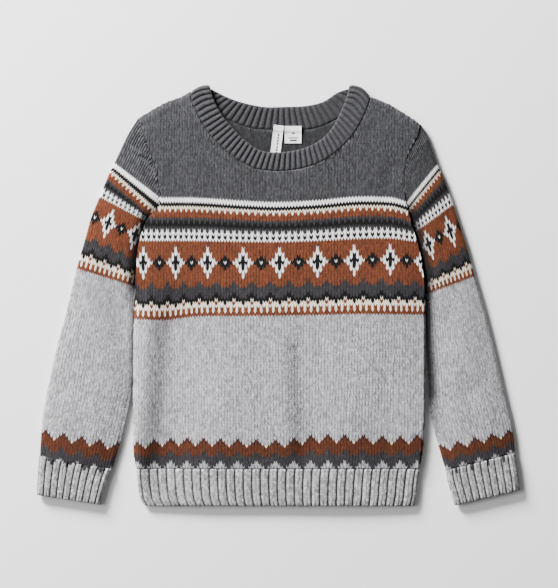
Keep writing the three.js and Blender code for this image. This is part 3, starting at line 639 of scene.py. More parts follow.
# Sleeves: courses from the shoulder down, in stitch rows counted from the top of the band. "starWale" is
# the wale from the outer fold where a star is centred.
sleeveWales = 26
sleeveRows = {"first": -19, "underarm": 45, "cuff": 108}
sleeveTables = {
    "left": {
        "starWale": 7,
        "row": (-19, -12, -6.3, -2, 1.1, 5.9, 13.9, 23, 30.3, 41, 49, 58.3, 69, 81.5, 92, 97.5, 108),
        "outer": [(-154.4, 197), (-164.5, 181.2), (-172.2, 165.8), (-177.7, 153.7), (-182, 145),
                  (-187.6, 132.8), (-195.8, 113), (-206.3, 87.4), (-212.5, 65.7), (-222.2, 31.6),
                  (-228.3, 7.4), (-234.9, -21.2), (-243.7, -53.1), (-252.5, -91.6), (-259, -126.8),
                  (-260.9, -144), (-263, -177.9)],
        "inner": [(-153.4, 196), (-145.2, 169.7), (-136.4, 144.9), (-130.4, 120.7), (-129.8, 104.2),
                  (-141.4, 91), (-146.3, 85.5), (-152.9, 65.2), (-156.2, 41.5), (-157.3, 11.3),
                  (-158.9, -9.1), (-160.6, -36.6), (-161.2, -66.3), (-162.2, -104.8), (-169.1, -139.9),
                  (-173.8, -159), (-183.2, -190)],
    },
    "right": {
        "starWale": 5,
        "row": (-19, -12, -6, 0, 7, 13, 21, 29, 41, 51, 61, 73, 85, 97, 108),
        "outer": [(156.2, 190.5), (162.3, 181.2), (168.9, 163.6), (174.8, 146.6), (182.1, 130.1),
                  (190.3, 107.6), (197.8, 84.4), (206.4, 58), (216, 22.8), (225, -8), (232.7, -37.7),
                  (240.9, -71.8), (249.2, -108.1), (257.7, -145.5), (260.7, -172)],
        "inner": [(156, 189.5), (145.8, 162.5), (138.9, 130.7), (142, 105.9), (147.4, 90.5), (152, 77.8),
                  (156.3, 58), (160.1, 31.6), (162.2, 2.6), (162.8, -25.6), (163.3, -56.4), (165, -90.5),
                  (166.6, -125.7), (176.1, -163.1), (184.3, -191)],
    },
}


# the sleeve table's points at the given courses, on a smooth curve through its rows
def tableAt(table, key, rows):
    knots = np.array([(row, *point) for row, point in zip(table["row"], table[key])], float)
    fine = curveThrough(knots, 900)
    return np.stack([np.interp(rows, fine[:, 0], fine[:, axis]) for axis in (1, 2)], -1)


# The sleeve sinks towards the armhole below its bend, as the body's edge lies over it: a valley along
# the armhole and the underarm fold. It fades in and out between the given courses, and is as deep as
# stated from "start" on, counted from the fold. Along it a painted shadow of the body's edge darkens the
# sleeve's colour: "shade" is its strength, full to "shadeFrom" and gone at "shadeReach".
valleys = {
    "left": {"reach": 13.0, "depth": 4.1, "innerShare": 0.6, "shade": 0.95, "shadeFrom": 0.0,
             "shadeReach": 14.0, "fadeIn": (-3, 12), "fadeOut": (40, 52), "start": 9.0},
    "right": {"reach": 16.0, "depth": 4.1, "innerShare": 0.6, "shade": 0.94, "shadeFrom": 4.0,
              "shadeReach": 17.0, "fadeIn": (-3, 7), "fadeOut": (80, 98), "start": 9.0},
}


# how far each point is down the valley, and how deep in its painted shadow: 1 on its line, 0 at the reach
def valleyShares(plan, rows, line, row):
    distance = nearestOn(plan, [line])[0]
    down = np.clip(1 - distance / row["reach"], 0, 1) ** 2
    dark = np.clip((row["shadeReach"] - distance) / (row["shadeReach"] - row["shadeFrom"]), 0, 1)
    fadeIn = np.clip((rows - row["fadeIn"][0]) / (row["fadeIn"][1] - row["fadeIn"][0]), 0, 1)
    fadeOut = np.clip((row["fadeOut"][1] - rows) / (row["fadeOut"][1] - row["fadeOut"][0]), 0, 1)
    along = (fadeIn * fadeOut)[:, None]
    return down * along, dark * dark * (3 - 2 * dark) * along


# Lattice of a sleeve: courses down, half stitches all round, over the upper layer from the outer fold to
# the armhole or underarm fold and back along the lower one.
def sleeveLattice(side, rows, outerPoints, innerPoints, polygon):
    underarmRow, lastUpper = sleeveRows["underarm"], 2 * sleeveWales
    width = np.linalg.norm(innerPoints - outerPoints, axis=-1)
    fullWidth = np.where(rows < underarmRow, width[rows == underarmRow], width)
    direction = (innerPoints - outerPoints) / width[:, None]
    halves = np.arange(0, 2 * lastUpper)
    upperHalves = np.where(halves <= lastUpper, halves, 2 * lastUpper - halves)
    fromOuter = fullWidth[:, None] * (upperHalves / lastUpper)
    plan = outerPoints[:, None] + direction[:, None] * fromOuter[..., None]
    along = np.gradient(outerPoints, axis=0) * 0.5 + np.gradient(innerPoints, axis=0) * 0.5
    along /= np.linalg.norm(along, axis=-1, keepdims=True)
    slant = np.where(halves % 2 == 1, 0.5, -0.5) * knit["slant"]
    onFold = (upperHalves == 0) | (upperHalves == lastUpper)
    isSlanted = rows < rows[-1]
    plan = plan + along[:, None] * ((slant * ~onFold)[None, :] * isSlanted[:, None])[..., None]
    stitchOfCell = np.where(halves < lastUpper, halves // 2, (2 * lastUpper - 1 - halves) // 2)
    cellYarn = stitchYarns(rows[:-1], stitchOfCell - sleeveTables[side]["starWale"], *borders[side])
    plan = np.where(onFold[None, :, None], plan, spreadDarks(plan, cellYarn, True))
    centre = (plan[:-1] + plan[1:]) / 2
    centre = (centre + np.roll(centre, -1, axis=1)) / 2
    keep = isInside(centre, polygon) | (rows[:-1] >= underarmRow)[:, None]
    onOuterFold = (upperHalves == 0)[None, :] & (rows > rows[0] + 1)[:, None]
    free = onOuterFold | (rows >= underarmRow)[:, None]
    return snapToOutline(plan, keep, polygon, True, free), keep, cellYarn, halves


# a sleeve: a tube that lies flat below the underarm, and above it ends at the armhole
def sleeve(name, side, hand):
    table, row = sleeveTables[side], valleys[side]
    armhole = curveThrough(outline[side + "Armhole"]) + np.array([cloth["seamGap"] * -hand, 0])
    outerFold, underFold = edges = edgePoints(side + "OuterFold", side + "UnderFold")
    polygon = np.vstack([outerFold, underFold[::-1], armhole[1:]])
    rows = np.arange(sleeveRows["first"], sleeveRows["cuff"] + 1)
    outerPoints, innerPoints = tableAt(table, "outer", rows), tableAt(table, "inner", rows)
    plan, keep, cellYarn, halves = sleeveLattice(side, rows, outerPoints, innerPoints, polygon)
    lastUpper = 2 * sleeveWales
    distance = nearestOn(plan, edges)[0]
    distance[:, halves == 0] = 0
    distance[np.ix_(rows >= sleeveRows["underarm"], halves == lastUpper)] = 0
    isUpper = np.broadcast_to(halves <= lastUpper, distance.shape)
    innerPlan = insetPlan(plan, edges, (outerPoints + innerPoints)[:, None] / 2 + np.zeros_like(plan))
    innerDistance = nearestOn(innerPlan, edges)[0]

    down, dark = valleyShares(plan, rows, np.vstack([armhole[::-1], underFold[1:]]), row)
    valleySink = np.where(isUpper, row["depth"] * down * roundRise(distance, row["start"]), 0)
    # painted shadow of the body's edge, multiplied into the sleeve's yarn colour
    shade = np.where(isUpper, 1 - row["shade"] * dark, 1)
    sink = upperSink(plan, distance, "sleeve")
    fromFold = roundRise(distance, knit["foldReach"])
    groove = knit["groove"] * fromFold
    outerZ = np.where(isUpper, layerHeight(distance, True, True) - sink - groove - valleySink,
                      layerHeight(distance, False, True) + groove + knit["underLift"] * fromFold)
    sunk = layerHeight(innerDistance, True, False) - sink - valleySink * row["innerShare"]
    innerZ = np.where(isUpper, clearOfLower(sunk, innerDistance, True),
                      layerHeight(innerDistance, False, False))
    # painted shade across the columns: lighter over a stitch's middle, darkest in the grooves between
    # stitches
    crownLine = np.where(halves % 2, knit["centreCrown"], 0.0)
    return knittedWall(name, raised(plan, outerZ), raised(innerPlan, innerZ), keep, cellYarn, knit["legRise"],
                       hand, True, crownLine, (shade[:-1] + shade[1:]) / 2)


leftSleeve = sleeve("leftSleeveKnit", "left", 1)
rightSleeve = sleeve("rightSleeveKnit", "right", -1)
print("sleeves done")

# 2x1 rib: places across one rib, how deep each line lies and how far the leg after it stands out; "crown"
# is its painted shade, darkest in the grooves
wideRib = {
    "share": (0, 0.08, 0.16, 0.37, 0.58, 0.79),
    "depth": (0.85, 1.8, 0.85, 0.35, 0.5, 0.35),
    "rise": (0.05, 0.05, 0.6, 0.7, 0.7, 0.6),
    "slant": (0.1, 0.1, 0.1, -0.4, 0.4, -0.4),
    "crown": (0.2, 0.0, 0.2, 0.75, 0.6, 0.75),
}
# 1x1 rib of the neckband, with its painted shade in "crown" likewise
narrowRib = {
    "share": (0, 0.14, 0.28, 0.64),
    "depth": (0.8, 1.5, 0.8, 0.1),
    "rise": (0.1, 0.1, 0.5, 0.5),
    "slant": (0.1, 0.1, 0.1, -0.4),
    "crown": (0.25, 0.0, 0.25, 0.8),
}

hem = {
    "ribs": 33, "phase": 0.42, "rows": 13,
    "foldReach": 5.0,       # how far in from a side the ribs reach their full depth
    "edgeSink": (0.3, 0.8),  # how far the last two lines of points turn in at the bound-off edge
    "left": [(-156.6, hemSeamY), (-155.7, -200), (-154.3, -211.8), (-152.4, -221.6), (-148, -229.3)],
    "right": [(155.6, hemSeamY), (153, -208), (152, -219), (149.5, -230)],
    "bindOff": [(-148, -229.3), (-138, -230.6), (-60, -230.6), (60, -230.6), (138, -230.6), (149.5, -230)],
}


# places of a row of ribs across its width, from a part of a rib at the start
def ribColumns(rib, ribs, phase=0.0):
    places = (np.arange(-1, ribs + 1)[:, None] + np.array(rib["share"])).ravel() + phase
    inside = places[(places > 0.04) & (places < ribs - 0.04)]
    return np.concatenate([[0], inside, [ribs]]) / ribs


# one quality of a rib at those places, in a straight line between the rib's own
def ribRow(rib, ribs, key, phase=0.0):
    places = ribColumns(rib, ribs, phase) * ribs - phase
    share = places % 1
    return np.interp(share, [*rib["share"], 1], [*rib[key], rib[key][0]])


# the same for the legs between those places: each takes the quality of the place before it
def ribCells(rib, ribs, key, phase=0.0):
    columns = ribColumns(rib, ribs, phase) * ribs - phase
    middle = (columns[:-1] + columns[1:]) / 2 % 1
    return np.array(rib[key])[np.searchsorted(rib["share"], middle, side="right") - 1]


# four edges blended over the inside (Coons patch)
def patchGrid(bottom, top, left, right, across, along):
    u, v = across[None, :, None], along[:, None, None]
    sideways = (1 - u) * left[:, None] + u * right[:, None]
    upDown = (1 - v) * bottom[None] + v * top[None]
    corners = (1 - v) * ((1 - u) * bottom[0] + u * bottom[-1]) + v * ((1 - u) * top[0] + u * top[-1])
    return sideways + upDown - corners


# points of a straight line at the given shares of it
def between(start, end, shares):
    return np.array(start) + np.asarray(shares)[:, None] * (np.array(end, float) - np.array(start, float))


underRibDepth = 1.2


# the ribs' depth on the underside, shallower and raised so that nothing reaches below the surface
def underRib(depth, distance):
    return np.minimum(depth, underRibDepth) + knit["underLift"] * roundRise(distance, knit["foldReach"])


# one layer of the hem's rib, from its seam to the bound-off edge
def hemRib(name, upper):
    ribs, phase = hem["ribs"], hem["phase"]
    across = ribColumns(wideRib, ribs, phase)
    along = np.linspace(0, 1, hem["rows"] + 1)
    left, right = curveThrough(hem["left"], len(along)), curveThrough(hem["right"], len(along))
    plan = patchGrid(between(hem["left"][0], hem["right"][0], across),
                     resampled(curveThrough(hem["bindOff"]), across), left, right, across, along)
    slant = ribRow(wideRib, ribs, "slant", phase) * knit["slant"]
    plan[1:-1, 1:-1, 1] += slant[None, 1:-1]
    edges = [curveThrough(hem["left"]), curveThrough(hem["right"])]
    distance = nearestOn(plan, edges)[0]
    lift = cloth["layerGap"] / 2 * (1 if upper else -1)
    depth = ribRow(wideRib, ribs, "depth", phase)[None] * roundRise(distance, hem["foldReach"])
    depth[-2:] += np.array(hem["edgeSink"])[:, None]
    sink = upperSink(plan, distance) if upper else 0
    outerZ = layerHeight(distance, upper, True) + lift
    outerZ = outerZ - sink - depth if upper else outerZ + underRib(depth, distance)
    innerPlan = insetPlan(plan, edges, plan.mean((0, 1)))
    innerDistance = nearestOn(innerPlan, edges)[0]
    innerZ = clearOfLower(layerHeight(innerDistance, upper, False) + lift - sink, innerDistance, upper)
    keep = np.ones((len(along) - 1, len(across) - 1), bool)
    cellYarn = np.full(keep.shape, yarnNames.index("ribGrey"))
    return knittedWall(name, raised(plan, outerZ), raised(innerPlan, innerZ), keep, cellYarn,
                       ribCells(wideRib, ribs, "rise", phase), 1 if upper else -1, False,
                       ribRow(wideRib, ribs, "crown", phase))


hemFront = hemRib("hemRibFrontKnit", True)
hemBack = hemRib("hemRibBackKnit", False)

cuffs = {
    "ribs": 10, "rows": 13, "edgeSink": (0.3, 0.7),
    "yarnRows": 2,          # courses at the seam that still carry the border's yarns
    "left": {"outer": [(-263.5, -175.1), (-265.4, -198), (-266.2, -218.3)],
             "inner": [(-183, -190.1), (-188.5, -204), (-195.6, -229.2)], "hand": 1},
    "right": {"outer": [(260.8, -172.1), (264.5, -196), (266.2, -213)],
              "inner": [(184.5, -191.1), (187, -206), (194.2, -229.8)], "hand": -1},
}


# a cuff: a tube of ribs that lies flat, round from the outer fold over the top
def cuff(name, side):
    table, ribs = cuffs[side], cuffs["ribs"]
    columns = ribColumns(wideRib, ribs)
    across = np.concatenate([columns[:-1], columns[::-1][:-1]])
    isUpper = np.arange(len(across)) < len(columns)
    along = np.linspace(0, 1, cuffs["rows"] + 1)
    outerFold, innerFold = curveThrough(table["outer"], len(along)), curveThrough(table["inner"], len(along))
    seam, boundOff = (between(table["outer"][end], table["inner"][end], columns) for end in (0, -1))
    upper = patchGrid(seam, boundOff, outerFold, innerFold, columns, along)
    plan = np.concatenate([upper[:, :-1], upper[:, ::-1][:, :-1]], axis=1)
    keys = {key: np.concatenate([ribRow(wideRib, ribs, key)[:-1], ribRow(wideRib, ribs, key)[::-1][:-1]])
            for key in ("slant", "depth", "crown")}
    cellRise = np.concatenate([ribCells(wideRib, ribs, "rise"), ribCells(wideRib, ribs, "rise")[::-1]])
    downward = outerFold[-1] + innerFold[-1] - outerFold[0] - innerFold[0]
    downward = downward / np.linalg.norm(downward)
    isFold = (across == 0) | (across == 1)
    plan[1:-1] -= downward * (keys["slant"] * ~isFold * knit["slant"])[None, :, None]
    edges = [curveThrough(table["outer"]), curveThrough(table["inner"])]
    distance = nearestOn(plan, edges)[0]
    distance[:, isFold] = 0
    innerPlan = insetPlan(plan, edges, (outerFold + innerFold)[:, None] / 2 + np.zeros_like(plan))
    innerDistance = nearestOn(innerPlan, edges)[0]
    depth = keys["depth"][None] * roundRise(distance, knit["foldReach"])
    depth[-2:] += np.array(cuffs["edgeSink"])[:, None]
    outerZ = np.where(isUpper, layerHeight(distance, True, True) - depth,
                      layerHeight(distance, False, True) + underRib(depth, distance))
    innerZ = np.where(isUpper, layerHeight(innerDistance, True, False),
                      layerHeight(innerDistance, False, False))
    keep = np.ones((len(along) - 1, len(across)), bool)
    cellMiddle = (across + np.roll(across, -1)) / 2
    stitchOfCell = np.floor(cellMiddle * sleeveWales).astype(int) - sleeveTables[side]["starWale"]
    cellYarn = stitchYarns(sleeveRows["cuff"] + np.arange(len(keep)), stitchOfCell, *borders[side])
    cellYarn[cellYarn == yarnNames.index("lightGrey")] = yarnNames.index("ribGrey")
    cellYarn[cuffs["yarnRows"]:] = yarnNames.index("ribGrey")
    return knittedWall(name, raised(plan, outerZ), raised(innerPlan, innerZ), keep, cellYarn, cellRise,
                       table["hand"], True, keys["crown"])


leftCuff = cuff("leftCuffKnit", "left")
rightCuff = cuff("rightCuffKnit", "right")
print("ribs done")


# The neckband: a doubled rib ring. Stations run round the neck and sections round the band's own wall.
# In front it lies on the upper layer, behind on the lower one, turning over at the shoulder points.
def neckband(name):
    phase = np.array(narrowRib["share"])

    def stationShares(ribs):
        return (np.arange(ribs)[:, None] + phase).ravel() / ribs

    def stationsFor(ribs, sewn, free, cuts, turn):
        share = stationShares(ribs)
        return (resampled(sewn, cuts[0] + share * (1 - 2 * cuts[0])),
                resampled(free, cuts[1] + share * (1 - 2 * cuts[1])), np.full(len(share), turn))

    cuts = (band["sewnCut"], band["freeCut"])
    front = stationsFor(neck["frontRibs"], band["sewn"], band["free"], cuts, 0.0)
    back = stationsFor(neck["backRibs"], band["backSewn"], band["backFree"], (0, 0), np.pi)
    foldShare = stationShares(neck["foldRibs"])
    turns = {"end": np.pi * foldShare, "start": np.pi * (1 - foldShare)}

    # places across the band's width from its sewn edge, first along its upper face and then back below
    widths = np.concatenate([[0, 0.03], np.linspace(0.09, 0.91, 8), [0.97]])
    shares = np.concatenate([widths, 1 - widths])
    side = np.concatenate([np.ones(len(widths)), -np.ones(len(widths))])
    fromEdge = np.clip((neck["edgeShare"] - np.minimum(shares, 1 - shares)) / neck["edgeShare"], 0, 1)
    thickness = side * (neck["wall"] / 2 - neck["roundOff"]) * np.sqrt(np.maximum(1 - fromEdge**2, 0))

    stations = []
    for kind in ("front", "end", "back", "start"):
        if kind in ("front", "back"):
            sewnPlan, freePlan, turn = front if kind == "front" else back
            stations.append((sewnPlan[:, None] + np.zeros((1, len(shares), 1)),
                             freePlan[:, None] + np.zeros((1, len(shares), 1)), turn))
            continue
        turn = turns[kind]
        radius = (neck["top"] - neck["wall"]) / 2 + thickness[None]
        out = np.sin(turn)[:, None] * radius
        places = []
        for edge in ("sewn", "free"):
            line, cut = band[edge], band[edge + "Cut"]
            past = out / lineLength(line)
            at = 1 - cut + past if kind == "end" else cut - past
            places.append(resampled(line, np.clip(at, 0, 1).ravel()).reshape(*at.shape, 2))
        stations.append((*places, turn))
    sewnPlan = np.vstack([row[0] for row in stations])
    freePlan = np.vstack([row[1] for row in stations])
    turn = np.concatenate([row[2] for row in stations])[:, None]
    ribs = neck["frontRibs"] + neck["backRibs"] + 2 * neck["foldRibs"]
    depth = np.tile(narrowRib["depth"], ribs)[:, None]
    relief = depth * (1 - fromEdge**2)[None] * neck["relief"]
    across = thickness[None] - side[None] * relief
    radius = (neck["top"] - neck["wall"]) / 2 + across
    slant = np.tile(narrowRib["slant"], ribs)[:, None] * neck["slantShare"] * (side * (fromEdge == 0))[None]
    blend = (shares[None] + slant)[..., None]
    plan = sewnPlan * (1 - blend) + freePlan * blend
    # the turned ends of the band stand out beyond a straight line, most at their middle
    inward = neck["inwardStep"]
    for key, place, further in (("start", 0, inward), ("end", -1, -1 - inward)):
        corner = (band["sewn"][place] + band["free"][place]) / 2
        inside = (band["sewn"][further] + band["free"][further]) / 2
        outward = (corner - inside) / np.linalg.norm(corner - inside)
        reach = np.linalg.norm(plan - corner, axis=-1) - neck["bulgeHalf"]
        nearness = np.exp(-((np.maximum(reach, 0) / neck["bulgeReach"]) ** 2))
        push = neck["bulge"][key] * np.sin(np.pi * shares) + neck["tip"][key] * shares
        plan = plan + outward * (nearness * push[None])[..., None]
    z = neck["top"] / 2 + np.cos(turn) * radius
    ring = raised(plan, z).transpose(1, 0, 2)
    rows, columns = ring.shape[:2]
    index = np.arange(rows * columns).reshape(rows, columns)
    a, b = index, np.roll(index, -1, axis=1)
    d, e = np.roll(index, -1, axis=0), np.roll(np.roll(index, -1, axis=0), -1, axis=1)
    flat = ring.reshape(-1, 3)
    normal = np.cross(flat[d] - flat[b], flat[e] - flat[a])
    normal /= np.maximum(np.linalg.norm(normal, axis=-1, keepdims=True), 1e-9)
    # in front the upper face looks up, which tells which way the normals point
    middleOfTop = np.abs(widths - 0.5).argmin()
    outward = np.sign(normal[middleOfTop, neck["frontRibs"], 2])
    rise = np.tile(narrowRib["rise"], ribs)[None, :, None] * (1 - (fromEdge**2))[:, None, None]
    peak = (flat[a] + flat[b] + flat[d] + flat[e]) / 4 + outward * normal * rise
    peakIndex = rows * columns + index
    points = np.vstack([flat, peak.reshape(-1, 3)])
    points[:, 2] = np.maximum(points[:, 2], neck["lowest"])
    faces = np.vstack([np.stack([part.ravel() for part in cell], -1) for cell in
                       ((a, d, peakIndex), (d, e, peakIndex), (e, b, peakIndex), (b, a, peakIndex))])
    if outward < 0:
        faces = faces[:, ::-1]
    # painted shade along the ribs, darkest in their grooves
    crownLine = np.broadcast_to(np.tile(narrowRib["crown"], ribs), (rows, columns)).ravel()
    ribPeaks = np.where(np.array(narrowRib["rise"]) > knit["lowRise"], 1.0, knit["lowCrown"])
    crownPeak = np.broadcast_to(np.tile(ribPeaks, ribs), (rows, columns)).ravel()
    colour = np.tile(yarnValues[yarnNames.index("charcoal")], (len(faces), 1))
    layer = np.where((outward * normal[..., 2]) >= 0, 0, 1).ravel()
    frontHalf = np.broadcast_to((np.cos(turn[:, 0]) > 0)[None], (rows, columns)).ravel()
    tile = np.array([(0, 0, 0.5, 0.5), (0.5, 0, 0.5, 0.5), (0, 0.5, 0.5, 0.5), (0.5, 0.5, 0.5, 0.5)])
    layout = np.tile(tile[layer + 2 * frontHalf], (4, 1))
    frontness = (np.cos(turn[:, 0]) + 1) / 2

    def fromBackToFront(key):
        return neck[key]["back"] + (neck[key]["front"] - neck[key]["back"]) * frontness[None]

    # painted shade: darker on the back half and beside the seam, read by the wool as painted lightness
    nearSeam = np.exp(-((shares[:, None] / fromBackToFront("seamReach")) ** 2))
    shaded = (fromBackToFront("lightness") * (1 - fromBackToFront("seamShade") * nearSeam)).ravel()
    crown = np.concatenate([crownLine * shaded, crownPeak * shaded])
    return makeMesh(name, points, faces, colour, crown, layout)


neckbandPiece = neckband("neckbandKnit")
print("neckband done")

# woven labels, in mm: "bars" are plain woven marks, each with its middle across and down, width and height
labelCloth = {
    "thickness": 0.35, "curl": 0.35,
    "onBand": 4.55, "onBack": 3.55,     # height of its upper face over the band's edge and on the back
    "stepFrom": 4.5, "stepTo": 9.0,     # how far down it passes from one to the other
    "cell": (0.35, 0.4),                # size of the mesh across and down
}
labels = {
    "strip": {"centreX": 0.5, "topY": 188.8, "width": 11.0, "length": 36.0, "tilt": 7.0,
              "bars": [(0.9, down, 1.9, 2.4) for down in (10.5, 13.8, 17.1, 20.4, 23.7, 27, 30.3)]},
    "square": {"centreX": 16.2, "topY": 188.0, "width": 18.5, "length": 19.0, "tilt": 0.0,
               "bars": [(0.2, 8.0, 2.6, 1.6), (0.2, 13.0, 10.5, 1.2), (0.2, 15.8, 8.0, 1.6)]},
}


# A woven label: a thin sheet, sewn over the band's edge, then down onto the inside of the back.
# Its height is a smooth step between the two levels, with a light curl of its long edges.
def label(name, row):
    cellWidth, cellLength = labelCloth["cell"]
    steps, columns = int(row["length"] / cellLength), int(row["width"] / cellWidth)
    down = np.linspace(0, row["length"], steps)[:, None]
    across = np.linspace(-0.5, 0.5, columns)[None]
    step = np.clip((down - labelCloth["stepFrom"]) / (labelCloth["stepTo"] - labelCloth["stepFrom"]), 0, 1)
    level = labelCloth["onBand"] - (labelCloth["onBand"] - labelCloth["onBack"]) * (3 * step**2 - 2 * step**3)
    curl = labelCloth["curl"] * (2 * across) ** 4 * (1 + 0.4 * np.sin(down / 5))
    turn = np.radians(row["tilt"])
    x = row["centreX"] + across * row["width"] * np.cos(turn) - down * np.sin(turn)
    y = row["topY"] - across * row["width"] * np.sin(turn) - down * np.cos(turn)
    top = np.stack([x, y, level + curl], -1).reshape(-1, 3)
    under = top - np.array([0, 0, labelCloth["thickness"]])
    index = np.arange(steps * columns).reshape(steps, columns)
    a, b, d, e = index[:-1, :-1], index[:-1, 1:], index[1:, :-1], index[1:, 1:]
    shift = steps * columns
    faces = [np.stack([part.ravel() for part in cell], -1) for cell in
             ((a, d, e), (a, e, b), (a + shift, e + shift, d + shift), (a + shift, b + shift, e + shift))]
    cellDown = (down[:-1] + down[1:]) / 2 + np.zeros((1, columns - 1))
    cellAcross = (across[:, :-1] + across[:, 1:]) / 2 * row["width"] + np.zeros((steps - 1, 1))
    onBar = np.zeros(cellDown.shape, bool)
    for barAcross, barDown, barWidth, barHeight in row["bars"]:
        onBar |= (abs(cellAcross - barAcross) < barWidth / 2) & (abs(cellDown - barDown) < barHeight / 2)
    loop = np.concatenate([index[0], index[1:, -1], index[-1, ::-1][1:], index[::-1, 0][1:]])
    u, v = loop[:-1], loop[1:]
    faces += [np.stack([u, v, v + shift], -1), np.stack([u, v + shift, u + shift], -1)]
    faces = np.vstack(faces)
    colour = np.tile(yarnValues[yarnNames.index("white")], (len(faces), 1))
    colour[:2 * a.size][np.tile(onBar.ravel(), 2)] = yarnValues[yarnNames.index("black")]
    isUnder = np.arange(len(faces)) // (2 * a.size) == 1
    layout = np.where(isUnder[:, None], [0.51, 0.0, 0.49, 1.0], [0.0, 0.0, 0.49, 1.0])
    return makeMesh(name, np.vstack([top, under]), faces, colour, np.ones(2 * shift), layout)


labelStrip = label("labelStripWoven", labels["strip"])
labelSquare = label("labelSquareWoven", labels["square"])
print("labels done")

wool = {
    "roughness": 0.95, "sheen": 0.08, "sheenRoughness": 0.5, "specular": 0.2,
    # noise, each with its scale and share: light and dark fibres, clumps of them, slow drift of the dye
    "fibres": (1500, 2.6), "clumps": (330, 1.3), "drift": (28, 0.12),
    "fuzzScale": 2200, "fuzzStrength": 0.5, "fuzzDepth": 0.0006,    # loose fibre, its depth in metres
    "darkest": 0.05,        # the yarn's colour is never darkened to less than this share
}


# wool: the yarn's own colour, light and dark fibres in it, painted shade in the grooves and on the inner
# face, and loose fibre as bump
def woolMaterial(name, grooveShade=0.5):
    material = bpy.data.materials.new(name)
    material.use_nodes = True
    nodes, links = material.node_tree.nodes, material.node_tree.links
    shader = nodes["Principled BSDF"]
    shader.inputs["Roughness"].default_value = wool["roughness"]
    shader.inputs["Sheen Weight"].default_value = wool["sheen"]
    shader.inputs["Sheen Roughness"].default_value = wool["sheenRoughness"]
    shader.inputs["Specular IOR Level"].default_value = wool["specular"]

    yarn = nodes.new("ShaderNodeAttribute")
    yarn.attribute_name = "yarnColour"
    crown = nodes.new("ShaderNodeAttribute")
    crown.attribute_name = "paintedLightness"
    place = nodes.new("ShaderNodeTexCoord")

    def noise(scale, detail):
        node = nodes.new("ShaderNodeTexNoise")
        node.inputs["Scale"].default_value = scale
        node.inputs["Detail"].default_value = detail
        links.new(place.outputs["Object"], node.inputs["Vector"])
        return node.outputs["Fac"]

    def maths(operation, first, second):
        node = nodes.new("ShaderNodeMath")
        node.operation = operation
        for socket, value in zip(node.inputs, (first, second)):
            if isinstance(value, (int, float)):
                socket.default_value = value
            else:
                links.new(value, socket)
        return node.outputs[0]

    def unevenness(key, detail):
        scale, share = wool[key]
        return maths("MULTIPLY", maths("SUBTRACT", noise(scale, detail), 0.5), share)

    mottle = maths("ADD", unevenness("fibres", 3), unevenness("clumps", 2))
    heather = maths("MULTIPLY", mottle, yarn.outputs["Alpha"])
    lightness = maths("ADD", maths("ADD", heather, unevenness("drift", 2)), 1.0)
    # painted shade: the yarn's colour darkens where the painted lightness is low
    shade = maths("ADD", maths("MULTIPLY", crown.outputs["Fac"], grooveShade), 1 - grooveShade)
    factor = maths("MAXIMUM", maths("MULTIPLY", lightness, shade), wool["darkest"])
    tint = nodes.new("ShaderNodeVectorMath")
    tint.operation = "SCALE"
    links.new(yarn.outputs["Color"], tint.inputs[0])
    links.new(factor, tint.inputs["Scale"])
    links.new(tint.outputs[0], shader.inputs["Base Color"])

    bump = nodes.new("ShaderNodeBump")
    bump.inputs["Strength"].default_value = wool["fuzzStrength"]
    bump.inputs["Distance"].default_value = wool["fuzzDepth"]
    links.new(noise(wool["fuzzScale"], 4), bump.inputs["Height"])
    links.new(bump.outputs["Normal"], shader.inputs["Normal"])
    return material


# woven label: satin weave as fine waves across and along, slightly glossy
def labelMaterial():
    material = bpy.data.materials.new("labelSatin")
    material.use_nodes = True
    nodes, links = material.node_tree.nodes, material.node_tree.links
    shader = nodes["Principled BSDF"]
    shader.inputs["Roughness"].default_value = 0.55
    shader.inputs["Sheen Weight"].default_value = 0.1
    place = nodes.new("ShaderNodeTexCoord")
    weave = nodes.new("ShaderNodeTexWave")
    weave.inputs["Scale"].default_value = 700
    weave.inputs["Distortion"].default_value = 1.0
    links.new(place.outputs["Object"], weave.inputs["Vector"])
    speck = nodes.new("ShaderNodeTexNoise")
    speck.inputs["Scale"].default_value = 900
    links.new(place.outputs["Object"], speck.inputs["Vector"])
    thread = nodes.new("ShaderNodeAttribute")
    thread.attribute_name = "yarnColour"
    ramp = nodes.new("ShaderNodeMapRange")
    ramp.inputs["To Min"].default_value = 0.72
    ramp.inputs["To Max"].default_value = 0.98
    links.new(speck.outputs["Fac"], ramp.inputs["Value"])
    tint = nodes.new("ShaderNodeVectorMath")
    tint.operation = "SCALE"
    links.new(thread.outputs["Color"], tint.inputs[0])
    links.new(ramp.outputs["Result"], tint.inputs["Scale"])
    links.new(tint.outputs[0], shader.inputs["Base Color"])
    bump = nodes.new("ShaderNodeBump")
    bump.inputs["Strength"].default_value = 0.3
    bump.inputs["Distance"].default_value = 0.0002
    links.new(weave.outputs["Fac"], bump.inputs["Height"])
    links.new(bump.outputs["Normal"], shader.inputs["Normal"])
    return material


knitWool = woolMaterial("fairIsleWool")
ribWool = woolMaterial("lightGreyRibWool", grooveShade=0.64)
charcoalWool = woolMaterial("charcoalRibWool", grooveShade=0.62)
satin = labelMaterial()

